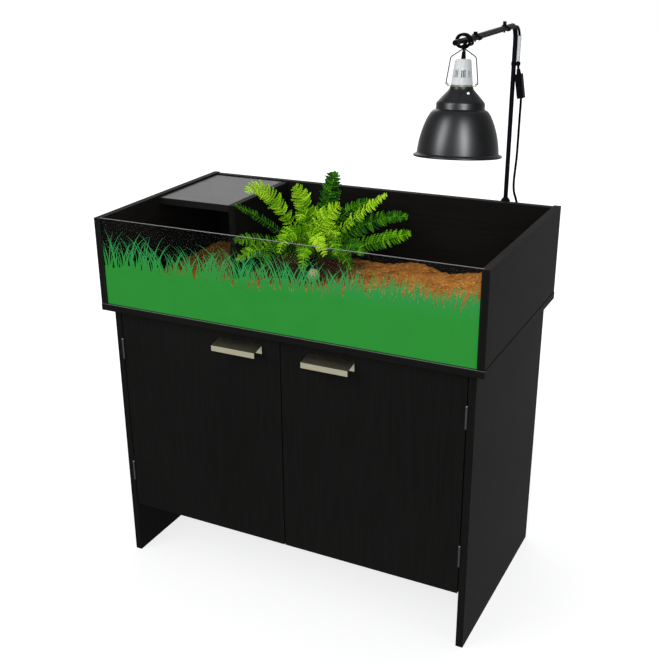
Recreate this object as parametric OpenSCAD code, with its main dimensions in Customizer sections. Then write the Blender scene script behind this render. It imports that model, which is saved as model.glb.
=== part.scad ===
// Open terrarium tray with a printed glass front, a hide box and a hanging heat lamp,
// standing on a two-door cabinet. Millimetres, Z up, floor at zero, front towards -Y.

/* [Boards] */
// Thickness of every melamine board
board = 16; // [15:0.5:18]
// Width over the tray's side boards
tray_width = 914; // [850:1:1100]
// Depth of the tray
tray_depth = 510; // [480:1:600]
// Height of the tray's side boards above its floor board
side_height = 203; // [200:1:260]
// How much lower the back board ends than the sides
back_drop = 2; // [0:0.5:10]
// How far the tray's floor board stands out past each side board
floor_lip = 1; // [0:0.5:3]

/* [Cabinet] */
// Height of the cabinet without the tray
cabinet_height = 655; // [560:1:760]
// How far the cabinet is set in at each side
cabinet_side_inset = 20; // [10:1:40]
// How far the cabinet is set in at the front
cabinet_front_inset = 20; // [14:1:30]
// Height of the doors' lower edges above the floor
door_foot = 137; // [100:1:180]
// Gap round each door
door_gap = 2.5; // [2.4:0.1:4]
// Width of the front and rear rails
rail_width = 80; // [60:1:120]

/* [Handles] */
// Length of a handle
handle_length = 108; // [90:1:130]
// How far a handle stands out from its door
handle_reach = 36; // [30:1:45]
// Height of a handle's turned-down lip
handle_lip = 12.5; // [8:0.5:16]
// Middle of the left handle, from the cabinet's middle
left_handle_x = -98; // [-200:1:-90]
// Middle of the right handle, from the cabinet's middle
right_handle_x = 122; // [90:1:200]

/* [Glass] */
// Thickness of the front glass
glass = 4; // [3:0.5:5]
// Height of the solid part of the grass print
print_ground = 98; // [60:1:105]
// Height of the tallest printed blade above the solid part
print_blade = 86; // [50:1:90]
// Number of printed blades
print_blades = 44; // [20:1:60]

/* [Hide box] */
// Inner width of the hide box
hide_width = 196; // [150:1:220]
// Depth of the hide box
hide_depth = 264; // [200:1:280]
// Height of the hide box above the tray's floor board
hide_height = 198.5; // [170:0.5:199]

/* [Lamp] */
// Diameter of the lamp pole
pole_d = 10; // [9:0.5:11]
// Distance of the pole from the tray's right-hand edge
pole_inset = 131.5; // [100:0.5:200]
// Height of the arm above the back board
arm_rise = 387; // [340:1:430]
// Bend radius of the pole
pole_bend = 30; // [26:1:40]
// Distance of the hanging point behind the tray's front
hang_depth = 184; // [160:1:230]
// Turn of the lamp about its upright axis
lamp_yaw = 18.7; // [0:0.1:30]
// Sideways swing of the hanging lamp from upright
lamp_swing = 1.2; // [0:0.1:2]
// Lean of the lamp head in its bail
lamp_lean = 7; // [7:0.5:9]
// Radius of the shade inside its rolled rim
shade_r = 79.4; // [76:0.2:90]
// Thickness of the shade's metal
shade_wall = 1; // [0.8:0.1:1.4]
// Diameter of the lamp cord
cord_d = 5.5; // [5:0.1:5.6]

/* [Contents] */
// Mean depth of the bark bedding
bedding_depth = 19; // [15:1:30]
// Radius of the ribbed ball
ball_r = 15.5; // [12:0.5:18]

/* [Hidden] */
$fa = 6;
$fs = 0.6;

// Clearances
running = 0.05;
loose = 0.3;
cut = 1;

// Colours
black_board = [0.13, 0.13, 0.15];
black_paint = [0.05, 0.05, 0.06];
nickel = [0.75, 0.72, 0.64];
steel = [0.7, 0.7, 0.72];
leaf_green = [0.45, 0.7, 0.1];

// Tray, from the floor up and from the front back
collar_r = 10.5;
pole_back = 12;
front_reach = handle_reach - cabinet_front_inset;
rear_reach = pole_back + collar_r;
tray_front = (front_reach - tray_depth - rear_reach) / 2;
tray_rear = tray_front + tray_depth;
tray_half = tray_width / 2;
tray_in = tray_half - board;
base_top = cabinet_height + board;
side_top = base_top + side_height;
back_top = side_top - back_drop;
back_front = tray_rear - board;

// Glass and its channels
channel_width = 3.5;
channel_lip = 2.4;
glass_play = 0.2;
glass_slot = glass + 2 * glass_play;
channel_depth = 2 * channel_lip + glass_slot;
slot_reach = 2.4;
groove_depth = 3;
glass_front = tray_front + channel_lip + glass_play;
glass_half = tray_in + slot_reach - glass_play;
glass_foot = base_top - groove_depth;
print_film = 0.3;
print_foot = base_top + 1.5;
print_half = tray_in - 0.5;

// Hide box
hide_front = back_front - hide_depth;
hide_top = base_top + hide_height;
divider_left = -tray_in + hide_width;
divider_right = divider_left + board;
peg_r = 2.5;
peg_inset = 25;
peg_reach = 8;
peg_z = hide_top - board - peg_r;

// Cabinet
cab_half = tray_half - cabinet_side_inset;
cab_in = cab_half - board;
cab_front = tray_front + cabinet_front_inset;
cab_rear = tray_rear;
door_back = cab_front + board;
door_top = cabinet_height - 3;
stop_gap = 0.4;
carcass_front = door_back + stop_gap;
hardboard = 4;
carcass_rear = cab_rear - hardboard;
floor_z = door_foot + 4;
rail_z = cabinet_height - board;

// Wooden dowels and screws
dowel_r = 4;
dowel_length = 30;
dowel_in_face = 10.5;
screw_r = 2;
screw_head_r = 4;
long_screw = 45;
short_screw = 27;

// Handles
handle_sheet = 2.5;
handle_top = cabinet_height - 22;
handle_fall = 8;
handle_flange = 22;
handle_screw_z = handle_top - 12;
handle_screw_pitch = 64;
boss_r = 4.5;
boss_reach = 5;

// Hinges
knuckle_r = 2.2;
hinge_pin_r = 1.1;
hinge_length = 50;
hinge_inset = 70;
leaf = 0.9;
leaf_width = 13;
hinge_x = cab_in - door_gap / 2;
hinge_y = cab_front - knuckle_r - 0.1;
hinge_heights = [door_foot + hinge_inset, door_top - hinge_inset - hinge_length];
knuckle_step = hinge_length / 5;

// Magnetic catches
magnet = [40, 12, 12];
magnet_x = 34;
strike = [36, 1.2, 11];

// Lamp pole
pole_r = pole_d / 2;
pole_wall = 1;
pole_x = tray_half - pole_inset;
pole_y = tray_rear + pole_back;
arm_z = back_top + arm_rise;
socket_r = 9;
socket_top = back_top - 6;
socket_height = 80;
socket_floor = 5;
bracket_plate = [44, 3, 86];
bracket_screw_x = 16;
bracket_screw_r = 1.75;
bracket_screw_length = 14;
collar_height = 11.5;
hang_y = tray_front + hang_depth;
arm_end = hang_y - 50.5;
cap_r = 5.4;
cap_height = 2.5;
cap_plug = 8;
hook_drop = 17.5;
hook_wire = 1.4;
hook_bend = 3.2;
hook_tip = 3;

// Bail and lamp head, in the head's own axes with the bail's pivots at zero
bail_wire = 1.25;
bail_rise = 64.5;
bail_shoulder = [24, 51];
bail_flat = 4;
bail_half = 30.4;
hang_z = arm_z - hook_drop;
hook_z = hang_z - bail_wire - hook_wire - loose + hook_bend;
pivot_z = hang_z - bail_rise;
ear_x = 27.6;
ear_wall = 1.6;
ear_half = 4;
ear_floor = 2.3;
ring_r = 20.6;
ring_z = -4;
ring_height = 3.5;
cover_foot = ring_z + ring_height;
cover_top = 47;
cover_foot_r = 21.2;
cover_top_r = 15.6;
cover_wall = 1.5;
vent_z = 13;
vent_width = 2;
vent_height = 14;
vent_turn = 5.3;
vent_step = 9.5;
grip_r = 4.6;
grip_top = 61;
grip_socket = 8;
holder_neck_r = 14.8;
holder_r = 15.6;
holder_top = 26;
thread_r = 13.1;
nut_r = 20;
nut_foot = -11;
shade_neck_r = 22.3;
shade_top = ring_z;
step_r = 46.8;
step_top = -36;
step_foot = -45;
bell_top = -48;
bell_foot = -130;
shade_foot = -135;
rim_flare = 4.6;
rim_r = 2.2;
bulb_r = 30;
bulb_z = -70;

// Cord and what is on it
cord_r = cord_d / 2;
cord_side = 9.15;
arm_cord_at = [8.85, -1.6];
clip_cord_x = 9.6;
clip_width = 8;
clip_wall = 2.2;
pole_clip_wall = 0.9;
clip_slack = 0.25;
clip_lug = 9.4;
pole_clip_z = arm_z - 82;
rear_clip_y = tray_front + 437;
front_clip_y = tray_front + 248;
arm_stretches = 14;
cord_split = hang_y + 54;
sleeve_r = 3.9;
sleeve_drop = 76;
sleeve_turn = 15.5;
switch_size = [15, 20, 52];
switch_at = [pole_x + 16.7, pole_y, arm_z - 129.5];
switch_lean = 9.3;
rocker_size = [8, 18];
rocker_depth = 2;
rocker_lean = 6;
coil_turns = 4.25;
coil_rings = 102;
coil_r = 30;
coil_pitch = 6.1;
coil_low = cord_r * 0.8;
coil_at = [pole_x - 25.5, tray_rear + 52];
plug_at = [coil_at.x - 95, coil_at.y + coil_r, 8];
plug_size = [40, 34, 16];
plug_relief = 25;

// Contents
crown_at = [-130, tray_front + 415];
crown_r = 17;
crown_z = base_top + 34;
crown_well = 12;
fern_foot_r = 6;
frond_rings = 14;
ball_at = [-55, tray_front + 290];
ball_floor = base_top + 20.5;
ball_level_r = 36;
ball_start = -78;
ball_low = ball_r * sin(78);

// ------------------------------------------------------------ helper functions
function unit(v) = v / norm(v);

// One point of a smooth curve through four route points
function curve_point(a, b, c, d, t) =
    0.5 * (2 * b + (c - a) * t + (2 * a - 5 * b + 4 * c - d) * t * t
    + (3 * b - a - 3 * c + d) * t * t * t);

// A smooth line through the route points, with steps points to each stretch
function smooth(route, steps) = concat(
    [for (i = [0:len(route) - 2]) for (k = [0:steps - 1])
        curve_point(route[max(i - 1, 0)], route[i], route[i + 1],
            route[min(i + 2, len(route) - 1)], k / steps)],
    [route[len(route) - 1]]);

function headings(line) = [for (i = [0:len(line) - 1])
    unit(line[min(i + 1, len(line) - 1)] - line[max(i - 1, 0)])];

// Sideways directions carried along the line without twist
function sideways(ways, start, i) = i >= len(ways) ? [] :
    let (side = unit(start - (start * ways[i]) * ways[i]))
    concat([side], sideways(ways, side, i + 1));

function ring_about(centre, way, side, r, sides) = [for (k = [0:sides - 1])
    centre + r * (cos(360 * k / sides) * side + sin(360 * k / sides) * cross(way, side))];

// Closed skin over a list of rings that all have the same number of points
module skin(rings) {
    per_ring = len(rings[0]);
    last = (len(rings) - 1) * per_ring;
    sides = [for (i = [0:len(rings) - 2]) for (k = [0:per_ring - 1])
        let (a = i * per_ring + k, b = i * per_ring + (k + 1) % per_ring)
        each [[a, a + per_ring, b + per_ring], [a, b + per_ring, b]]];
    caps = [[for (k = [0:per_ring - 1]) k], [for (k = [per_ring - 1:-1:0]) last + k]];
    polyhedron([for (ring = rings) each ring], concat(sides, caps));
}

// Round cord along a line, between two of its points
module cord(line, first, last, sides) {
    ways = headings(line);
    across = sideways(ways, [0, 1, 0], 0);
    skin([for (i = [first:last]) ring_about(line[i], ways[i], across[i], cord_r, sides)]);
}

// Box given by its low and high corners
module block(low, high) {
    translate(low) cube(high - low);
}

// Children repeated on the left and the right
module both_sides() {
    children();
    mirror([1, 0, 0]) children();
}

// ------------------------------------------------------- dowels and screws
// Dowels lie along X at the ends of the carcass boards and of the tray's back
end_dowels = [
    [cab_in, carcass_front + 40, floor_z + board / 2],
    [cab_in, carcass_rear - 60, floor_z + board / 2],
    [cab_in, carcass_front + 20, rail_z + board / 2],
    [cab_in, carcass_front + rail_width - 20, rail_z + board / 2],
    [cab_in, carcass_rear - 20, rail_z + board / 2],
    [cab_in, carcass_rear - rail_width + 20, rail_z + board / 2],
    [tray_in, tray_rear - board / 2, base_top + 50],
    [tray_in, tray_rear - board / 2, base_top + 150]
];
divider_dowels = [
    [divider_left + board / 2, hide_front + 50, base_top],
    [divider_left + board / 2, back_front - 50, base_top]
];

module end_dowel(at, grow) {
    translate([at.x + dowel_in_face + grow * 10, at.y, at.z])
        rotate([0, -90, 0])
            cylinder(h = dowel_length + grow * 20, r = dowel_r + grow);
}

module end_dowel_holes() {
    both_sides() for (at = end_dowels) end_dowel(at, running);
}

module divider_dowel(at, grow) {
    translate([at.x, at.y, at.z - dowel_in_face - grow * 10])
        cylinder(h = dowel_length + grow * 20, r = dowel_r + grow);
}

module divider_dowel_holes() {
    for (at = divider_dowels) divider_dowel(at, running);
}

module wood_dowels() {
    color("burlywood") {
        both_sides() for (at = end_dowels) end_dowel(at, 0);
        for (at = divider_dowels) divider_dowel(at, 0);
    }
}

// Countersunk screw whose flat head looks down
module countersunk(at, length, grow) {
    translate(at) {
        cylinder(h = length, r = screw_r + grow);
        cylinder(h = screw_head_r - screw_r, r1 = screw_head_r + grow, r2 = screw_r + grow);
    }
}

side_screws = [for (y = [tray_front + 60, tray_front + 250, tray_rear - 60])
    [tray_half - board / 2, y, cabinet_height]];
back_screws = [for (x = [-300, 0, 300]) [x, tray_rear - board / 2, cabinet_height]];
rail_screws = [for (y = [carcass_front + 40, carcass_rear - 40]) [300, y, rail_z]];

module screws(grow) {
    both_sides() {
        for (at = side_screws) countersunk(at, long_screw, grow);
        for (at = rail_screws) countersunk(at, short_screw, grow);
    }
    for (at = back_screws) countersunk(at, long_screw, grow);
}

module chipboard_screws() {
    color(steel) screws(0);
}

// ------------------------------------------------------------------- tray
module tray_base() {
    color(black_board) difference() {
        block([-tray_half - floor_lip, tray_front, cabinet_height],
            [tray_half + floor_lip, tray_rear, base_top]);
        block([-tray_in - slot_reach, tray_front + channel_lip, glass_foot],
            [tray_in + slot_reach, tray_front + channel_lip + glass_slot, base_top + cut]);
        screws(running);
        divider_dowel_holes();
    }
}

module tray_side() {
    difference() {
        block([tray_in, tray_front, base_top], [tray_half, tray_rear, side_top]);
        block([tray_in - cut, tray_front - cut, base_top - cut],
            [tray_in + channel_width + running, tray_front + channel_depth + running,
                side_top + cut]);
        end_dowel_holes();
        screws(running);
    }
}

module roof_peg_holes() {
    roof_peg_set(running);
}

module tray_left_side() {
    color(black_board) difference() {
        mirror([1, 0, 0]) tray_side();
        roof_peg_holes();
    }
}

module tray_right_side() {
    color(black_board) tray_side();
}

module tray_back() {
    color(black_board) difference() {
        block([-tray_in, back_front, base_top], [tray_in, tray_rear, back_top]);
        end_dowel_holes();
        screws(running);
        bracket_screw_set(running);
    }
}

// U channel in the side board's rebate, with its mouth towards the middle
module glass_channel() {
    difference() {
        block([tray_in, tray_front, base_top],
            [tray_in + channel_width, tray_front + channel_depth, side_top]);
        block([tray_in - cut, tray_front + channel_lip, base_top - cut],
            [tray_in + slot_reach, tray_front + channel_lip + glass_slot, side_top + cut]);
    }
}

module glass_left_channel() {
    color(black_paint) mirror([1, 0, 0]) glass_channel();
}

module glass_right_channel() {
    color(black_paint) glass_channel();
}

module front_glass() {
    color([0.8, 0.9, 0.88, 0.35])
        block([-glass_half, glass_front, glass_foot],
            [glass_half, glass_front + glass, side_top]);
}

// Outline of one blade from its right foot over the tip to its left foot
function blade(x, width, height, lean) = [
    [x + width / 2, print_ground],
    [x + width / 3 + lean * 0.3, print_ground + height * 0.5],
    [x + lean, print_ground + height],
    [x - width / 3 + lean * 0.3, print_ground + height * 0.5],
    [x - width / 2, print_ground]
];

module grass_print() {
    pitch = 2 * print_half / (print_blades + 1);
    color([0.2, 0.6, 0.24])
        translate([0, glass_front, print_foot])
            rotate([90, 0, 0])
                linear_extrude(print_film) polygon(concat(
                    [[-print_half, 0], [print_half, 0], [print_half, print_ground]],
                    [for (i = [print_blades:-1:1]) each blade(
                        i * pitch - print_half,
                        pitch * (0.7 + 0.2 * sin(i * 77)),
                        print_blade * (0.7 + 0.3 * sin(i * 131)),
                        pitch * 0.4 * sin(i * 97))],
                    [[-print_half, print_ground]]));
}

// --------------------------------------------------------------- hide box
module roof_peg_set(grow) {
    for (y = [hide_front + peg_inset, back_front - peg_inset]) {
        translate([-tray_in + peg_reach, y, peg_z])
            rotate([0, -90, 0]) cylinder(h = 2 * peg_reach + grow, r = peg_r + grow);
        translate([divider_left - peg_reach, y, peg_z])
            rotate([0, 90, 0]) cylinder(h = 2 * peg_reach + grow, r = peg_r + grow);
    }
}

module roof_pegs() {
    color(nickel) roof_peg_set(0);
}

module hide_divider() {
    color(black_board) difference() {
        block([divider_left, hide_front, base_top], [divider_right, back_front, hide_top]);
        divider_dowel_holes();
        roof_peg_holes();
    }
}

module hide_roof() {
    color(black_board)
        block([-tray_in + loose, hide_front, hide_top - board],
            [divider_left - loose, back_front - loose, hide_top]);
}

// ---------------------------------------------------------------- cabinet
module cabinet_side() {
    difference() {
        block([cab_in, cab_front, 0], [cab_half, cab_rear, cabinet_height]);
        end_dowel_holes();
    }
}

module cabinet_left_side() {
    color(black_board) mirror([1, 0, 0]) cabinet_side();
}

module cabinet_right_side() {
    color(black_board) cabinet_side();
}

module cabinet_floor() {
    color(black_board) difference() {
        block([-cab_in, carcass_front, floor_z], [cab_in, carcass_rear, floor_z + board]);
        end_dowel_holes();
    }
}

module rail(front) {
    color(black_board) difference() {
        block([-cab_in, front, rail_z], [cab_in, front + rail_width, cabinet_height]);
        end_dowel_holes();
        screws(running);
    }
}

module cabinet_front_rail() {
    rail(carcass_front);
}

module cabinet_rear_rail() {
    rail(carcass_rear - rail_width);
}

module cabinet_back() {
    color(black_board)
        block([-cab_in + loose, carcass_rear, floor_z],
            [cab_in - loose, cab_rear, cabinet_height]);
}

// ------------------------------------------------------- doors and handles
module door(hinge_side, handle_x) {
    outer = hinge_side * (cab_in - door_gap);
    inner = hinge_side * door_gap / 2;
    color(black_board) difference() {
        block([min(outer, inner), cab_front, door_foot], [max(outer, inner), door_back, door_top]);
        handle_screw_shanks(handle_x, 0.1);
    }
}

module left_door() {
    door(-1, left_handle_x);
}

module right_door() {
    door(1, right_handle_x);
}

// Handle bent from one sheet: flange on the door, sloping top, turned-down lip
module handle(x) {
    slope = handle_fall / handle_reach;
    inner_top = handle_top - handle_sheet;
    color(nickel) translate([x, cab_front, 0]) difference() {
        union() {
            rotate([90, 0, 90]) translate([0, 0, -handle_length / 2])
                linear_extrude(handle_length) polygon([
                    [0, handle_top - handle_flange],
                    [0, handle_top],
                    [-handle_reach, handle_top - handle_fall],
                    [-handle_reach, handle_top - handle_fall - handle_lip],
                    [-handle_reach + handle_sheet, handle_top - handle_fall - handle_lip],
                    [-handle_reach + handle_sheet,
                        inner_top - handle_fall + slope * handle_sheet],
                    [-handle_sheet, inner_top - slope * handle_sheet],
                    [-handle_sheet, handle_top - handle_flange]
                ]);
            for (side = [-1, 1])
                translate([side * handle_screw_pitch / 2, 0, handle_screw_z])
                    rotate([90, 0, 0]) cylinder(h = boss_reach, r = boss_r);
        }
        translate([-x, -cab_front, 0]) handle_screw_shanks(x, running);
    }
}

module left_handle() {
    handle(left_handle_x);
}

module right_handle() {
    handle(right_handle_x);
}

module handle_screw_shanks(x, grow) {
    for (side = [-1, 1])
        translate([x + side * handle_screw_pitch / 2, door_back, handle_screw_z])
            rotate([90, 0, 0]) cylinder(h = board + boss_reach - 1, r = screw_r + grow);
}

module handle_screws(x) {
    color(steel) {
        handle_screw_shanks(x, 0);
        for (side = [-1, 1])
            translate([x + side * handle_screw_pitch / 2, door_back, handle_screw_z])
                rotate([-90, 0, 0]) cylinder(h = 2.4, r1 = screw_head_r, r2 = 3);
    }
}

module left_handle_screws() {
    handle_screws(left_handle_x);
}

module right_handle_screws() {
    handle_screws(right_handle_x);
}

// ---------------------------------------------------------------- hinges
// Right-hand butt hinge: five knuckles, the odd ones on the cabinet's side board
module knuckles(steps) {
    difference() {
        for (i = steps)
            translate([hinge_x, hinge_y, i * knuckle_step + 0.1])
                cylinder(h = knuckle_step - 0.2, r = knuckle_r);
        translate([hinge_x, hinge_y, -cut])
            cylinder(h = hinge_length + 2 * cut, r = hinge_pin_r + running);
    }
}

// Plate of a leaf, with a tongue to each of its knuckles
module leaf_plate(low_x, steps) {
    block([low_x, cab_front, 0], [low_x + leaf, cab_front + leaf_width, hinge_length]);
    difference() {
        for (i = steps)
            block([low_x, hinge_y, i * knuckle_step + 0.1],
                [low_x + leaf, cab_front + 0.5, (i + 1) * knuckle_step - 0.1]);
        translate([hinge_x, hinge_y, -cut])
            cylinder(h = hinge_length + 2 * cut, r = hinge_pin_r + running);
    }
}

module side_leaf() {
    knuckles([0, 2, 4]);
    leaf_plate(cab_in - leaf - running, [0, 2, 4]);
}

module door_leaf() {
    knuckles([1, 3]);
    leaf_plate(cab_in - door_gap + running, [1, 3]);
}

module at_hinges() {
    for (z = hinge_heights) translate([0, 0, z]) children();
}

module left_hinge_leaves() {
    color(black_paint) mirror([1, 0, 0]) at_hinges() door_leaf();
}

module right_hinge_leaves() {
    color(black_paint) at_hinges() door_leaf();
}

module side_hinge_leaves() {
    color(black_paint) both_sides() at_hinges() side_leaf();
}

module hinge_pins() {
    color(steel) both_sides() at_hinges() translate([hinge_x, hinge_y, 0]) {
        cylinder(h = hinge_length, r = hinge_pin_r);
        translate([0, 0, hinge_length]) cylinder(h = 0.8, r = knuckle_r);
    }
}

module door_magnets() {
    color("dimgray") both_sides()
        translate([magnet_x, door_back + strike.y + 0.2, rail_z - magnet.z]) cube(magnet);
}

module strike_plate() {
    translate([magnet_x + (magnet.x - strike.x) / 2, door_back, rail_z - magnet.z])
        cube(strike);
}

module left_strike() {
    color(steel) mirror([1, 0, 0]) strike_plate();
}

module right_strike() {
    color(steel) strike_plate();
}

// -------------------------------------------------------------- lamp pole
bracket_screw_at = [for (side = [-1, 1]) for (down = [15, 68])
    [pole_x + side * bracket_screw_x, tray_rear + bracket_plate.y, socket_top - down]];

module bracket_screw_set(grow) {
    for (at = bracket_screw_at) translate(at) rotate([90, 0, 0])
        cylinder(h = bracket_screw_length + grow * 10, r = bracket_screw_r + grow);
}

module bracket_screws() {
    color(steel) {
        bracket_screw_set(0);
        for (at = bracket_screw_at) translate(at) rotate([-90, 0, 0])
            cylinder(h = 2, r1 = 3.4, r2 = 2.4);
    }
}

module pole_bracket() {
    low = socket_top - socket_height;
    color(black_paint) difference() {
        union() {
            block([pole_x - bracket_plate.x / 2, tray_rear, socket_top - bracket_plate.z],
                [pole_x + bracket_plate.x / 2, tray_rear + bracket_plate.y, socket_top]);
            block([pole_x - pole_r, tray_rear, low], [pole_x + pole_r, pole_y, socket_top]);
            translate([pole_x, pole_y, low]) cylinder(h = socket_height, r = socket_r);
        }
        translate([pole_x, pole_y, low + socket_floor])
            cylinder(h = socket_height, r = pole_r + running);
        bracket_screw_set(running);
    }
}

module pole_collar() {
    shoulder = collar_height - 6;
    color(black_paint) translate([pole_x, pole_y, socket_top]) rotate_extrude() polygon([
        [pole_r + running, 0],
        [collar_r, 0],
        [collar_r, shoulder],
        [pole_r + 1, collar_height],
        [pole_r + running, collar_height]
    ]);
}

// Upright, bend and arm as one round run; grow lengthens its open ends
module pole_run(r, grow) {
    foot = socket_top - socket_height + socket_floor - grow;
    translate([pole_x, pole_y, foot]) cylinder(h = arm_z - pole_bend - foot, r = r);
    translate([pole_x, pole_y - pole_bend, arm_z - pole_bend]) rotate([90, 0, 90])
        rotate_extrude(angle = 90) translate([pole_bend, 0]) circle(r);
    translate([pole_x, pole_y - pole_bend, arm_z]) rotate([90, 0, 0])
        cylinder(h = pole_y - pole_bend - arm_end + grow, r = r);
}

module lamp_pole() {
    color(black_paint) difference() {
        pole_run(pole_r, 0);
        pole_run(pole_r - pole_wall, cut);
        hook_shank(hook_wire + running);
    }
}

module arm_end_cap() {
    plug_r = pole_r - pole_wall - running;
    color(black_paint) translate([pole_x, arm_end, arm_z]) rotate([90, 0, 0])
        rotate_extrude() polygon([
            [0, -cap_plug],
            [plug_r, -cap_plug],
            [plug_r, 0],
            [cap_r, 0],
            [cap_r, cap_height - 1],
            [cap_r - 1, cap_height],
            [0, cap_height]
        ]);
}

module hook_shank(r) {
    translate([pole_x, hang_y - hook_bend, hook_z])
        cylinder(h = arm_z + pole_r - pole_wall - 0.4 - hook_z, r = r);
}

module arm_hook() {
    color(black_paint) {
        hook_shank(hook_wire);
        translate([pole_x, hang_y, hook_z]) rotate([-90, 0, 90])
            rotate_extrude(angle = 180) translate([hook_bend, 0]) circle(hook_wire);
        translate([pole_x, hang_y + hook_bend, hook_z]) {
            cylinder(h = hook_tip, r = hook_wire);
            translate([0, 0, hook_tip]) sphere(hook_wire);
        }
    }
}

// Figure-eight clip along Z round the pole and the cord; its children stand on it
module clip(cord_at, wall) {
    difference() {
        union() {
            cylinder(h = clip_width, r = pole_r + wall, center = true);
            translate(cord_at)
                cylinder(h = clip_width, r = cord_r + clip_wall, center = true);
            children();
        }
        cylinder(h = clip_width + cut, r = pole_r + running, center = true);
        translate(cord_at)
            cylinder(h = clip_width + cut, r = cord_r + clip_slack, center = true);
    }
}

// Clip on the arm, with a nub above it and a small lug below
module arm_clip(y, nub, nub_r) {
    translate([pole_x, y, arm_z]) rotate([90, 0, 0]) clip(arm_cord_at, clip_wall) {
        rotate([-90, 0, 0]) cylinder(h = nub, r = nub_r);
        rotate([90, 0, 0]) cylinder(h = clip_lug, r = 1.8);
    }
}

module cord_clips() {
    color(black_paint) {
        arm_clip(rear_clip_y, 13.4, 3.7);
        arm_clip(front_clip_y, 9.5, 3.9);
        translate([pole_x, pole_y, pole_clip_z]) clip([clip_cord_x, 0], pole_clip_wall);
    }
}

// --------------------------------------------------------------- lamp head
// The bail hangs from the hook; the head leans in it
module in_bail() {
    translate([pole_x, hang_y, hang_z]) rotate([0, lamp_swing, lamp_yaw])
        translate([0, 0, -bail_rise]) children();
}

module in_head() {
    in_bail() rotate([-lamp_lean, 0, 0]) children();
}

module lamp_bail() {
    half = [
        [bail_half - 5.5, 0, 0],
        [bail_half - 1.5, 0, 0],
        [bail_half, 0, 1.5],
        [bail_shoulder.x + 0.6, 0, bail_shoulder.y - 5],
        [bail_shoulder.x - 2.5, 0, bail_shoulder.y + 2],
        [bail_flat + 2, 0, bail_rise - 1.3],
        [bail_flat - 1, 0, bail_rise]
    ];
    line = concat(
        half,
        [for (i = [len(half) - 1:-1:0]) [-half[i].x, half[i].y, half[i].z]]);
    ways = headings(line);
    across = sideways(ways, [0, 1, 0], 0);
    color(steel) in_bail() skin([for (i = [0:len(line) - 1])
        ring_about(line[i], ways[i], across[i], bail_wire, 10)]);
}

module bail_ring() {
    reach = ear_x + ear_wall / 2;
    color(steel) in_head() difference() {
        union() {
            translate([0, 0, ring_z]) cylinder(h = ring_height, r = ring_r);
            block([-reach, -ear_half, ring_z], [reach, ear_half, ring_z + ear_floor]);
            for (side = [0, 1]) mirror([side, 0, 0])
                block([reach - ear_wall, -ear_half, ring_z], [reach, ear_half, ear_half]);
        }
        translate([0, 0, ring_z - cut])
            cylinder(h = ring_height + 2 * cut, r = holder_neck_r + 0.2);
        for (side = [-1, 1]) translate([side * ear_x, 0, 0]) rotate([0, 90, 0])
            cylinder(h = ear_wall + cut, r = bail_wire + 0.3, center = true);
    }
}

module lamp_cover() {
    color("white") in_head() difference() {
        rotate_extrude() polygon([
            [cover_foot_r - cover_wall, cover_foot],
            [cover_foot_r, cover_foot],
            [cover_top_r, cover_top - 2],
            [cover_top_r - 2, cover_top],
            [grip_r + running, cover_top],
            [grip_r + running, cover_top - cover_wall],
            [cover_top_r - cover_wall, cover_top - cover_wall]
        ]);
        for (i = [0:7]) for (k = [-1:1]) rotate([0, 0, 45 * i + vent_step * k + vent_turn])
            block([cover_top_r - 4, -vent_width / 2, vent_z],
                [cover_foot_r + cut, vent_width / 2, vent_z + vent_height]);
    }
}

module cord_grip() {
    low = cover_top - cover_wall;
    color(black_paint) in_head() rotate_extrude() polygon([
        [0, low - 2.5],
        [7, low - 2.5],
        [7, low],
        [grip_r, low],
        [grip_r, cover_top + 1],
        [cord_r + 0.8, grip_top],
        [cord_r + running, grip_top],
        [cord_r + running, grip_top - grip_socket],
        [0, grip_top - grip_socket]
    ]);
}

module lamp_holder() {
    color("ivory") in_head() rotate_extrude() polygon([
        [thread_r, nut_foot],
        [holder_neck_r, nut_foot],
        [holder_neck_r, cover_foot],
        [holder_r, cover_foot],
        [holder_r, holder_top - 1.5],
        [holder_r - 1.5, holder_top],
        [0, holder_top],
        [0, holder_top - 8],
        [thread_r, holder_top - 8]
    ]);
}

module holder_nut() {
    color("ivory") in_head() translate([0, 0, nut_foot]) difference() {
        cylinder(h = shade_top - shade_wall - nut_foot, r = nut_r);
        translate([0, 0, -cut]) cylinder(h = 20, r = holder_neck_r + running);
    }
}

// Outline of the shade from its neck down to the rim
function bell(t) = [
    step_r + 3.2 + (shade_r - step_r - 3.2) * (0.8 * pow(sin(90 * t), 0.6) + 0.2 * t),
    bell_top + (bell_foot - bell_top) * t
];

shade_outline = concat(
    [
        [shade_neck_r, shade_top],
        [shade_neck_r + 1, shade_top - 5],
        [34.2, -20.5],
        [44, -31.5],
        [step_r, step_top],
        [step_r, step_foot],
        [step_r + 1.2, step_foot - 2]
    ],
    [for (t = [0, 0.03, 0.08, 0.16, 0.26, 0.38, 0.52, 0.68, 0.84, 1]) bell(t)]);

module lamp_shade() {
    last = len(shade_outline) - 1;
    inside = shade_wall * 1.2;
    color(black_paint) in_head() difference() {
        rotate_extrude() polygon(concat(
            shade_outline,
            [for (a = [110:-20:-170]) [
                shade_r + rim_flare + rim_r * cos(a),
                shade_foot + rim_r * sin(a)
            ]],
            [for (i = [last:-1:1]) shade_outline[i] - [inside, 0]],
            [
                [shade_neck_r - inside, shade_top - shade_wall],
                [holder_neck_r + 0.2, shade_top - shade_wall],
                [holder_neck_r + 0.2, shade_top]
            ]));
        at_shade_screw() cylinder(h = 12, r = 1.5 + running, center = true);
    }
}

module at_shade_screw() {
    rotate([0, 0, -63.9]) translate([29.9, 0, -16]) rotate([0, 46.5, 0]) children();
}

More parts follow.
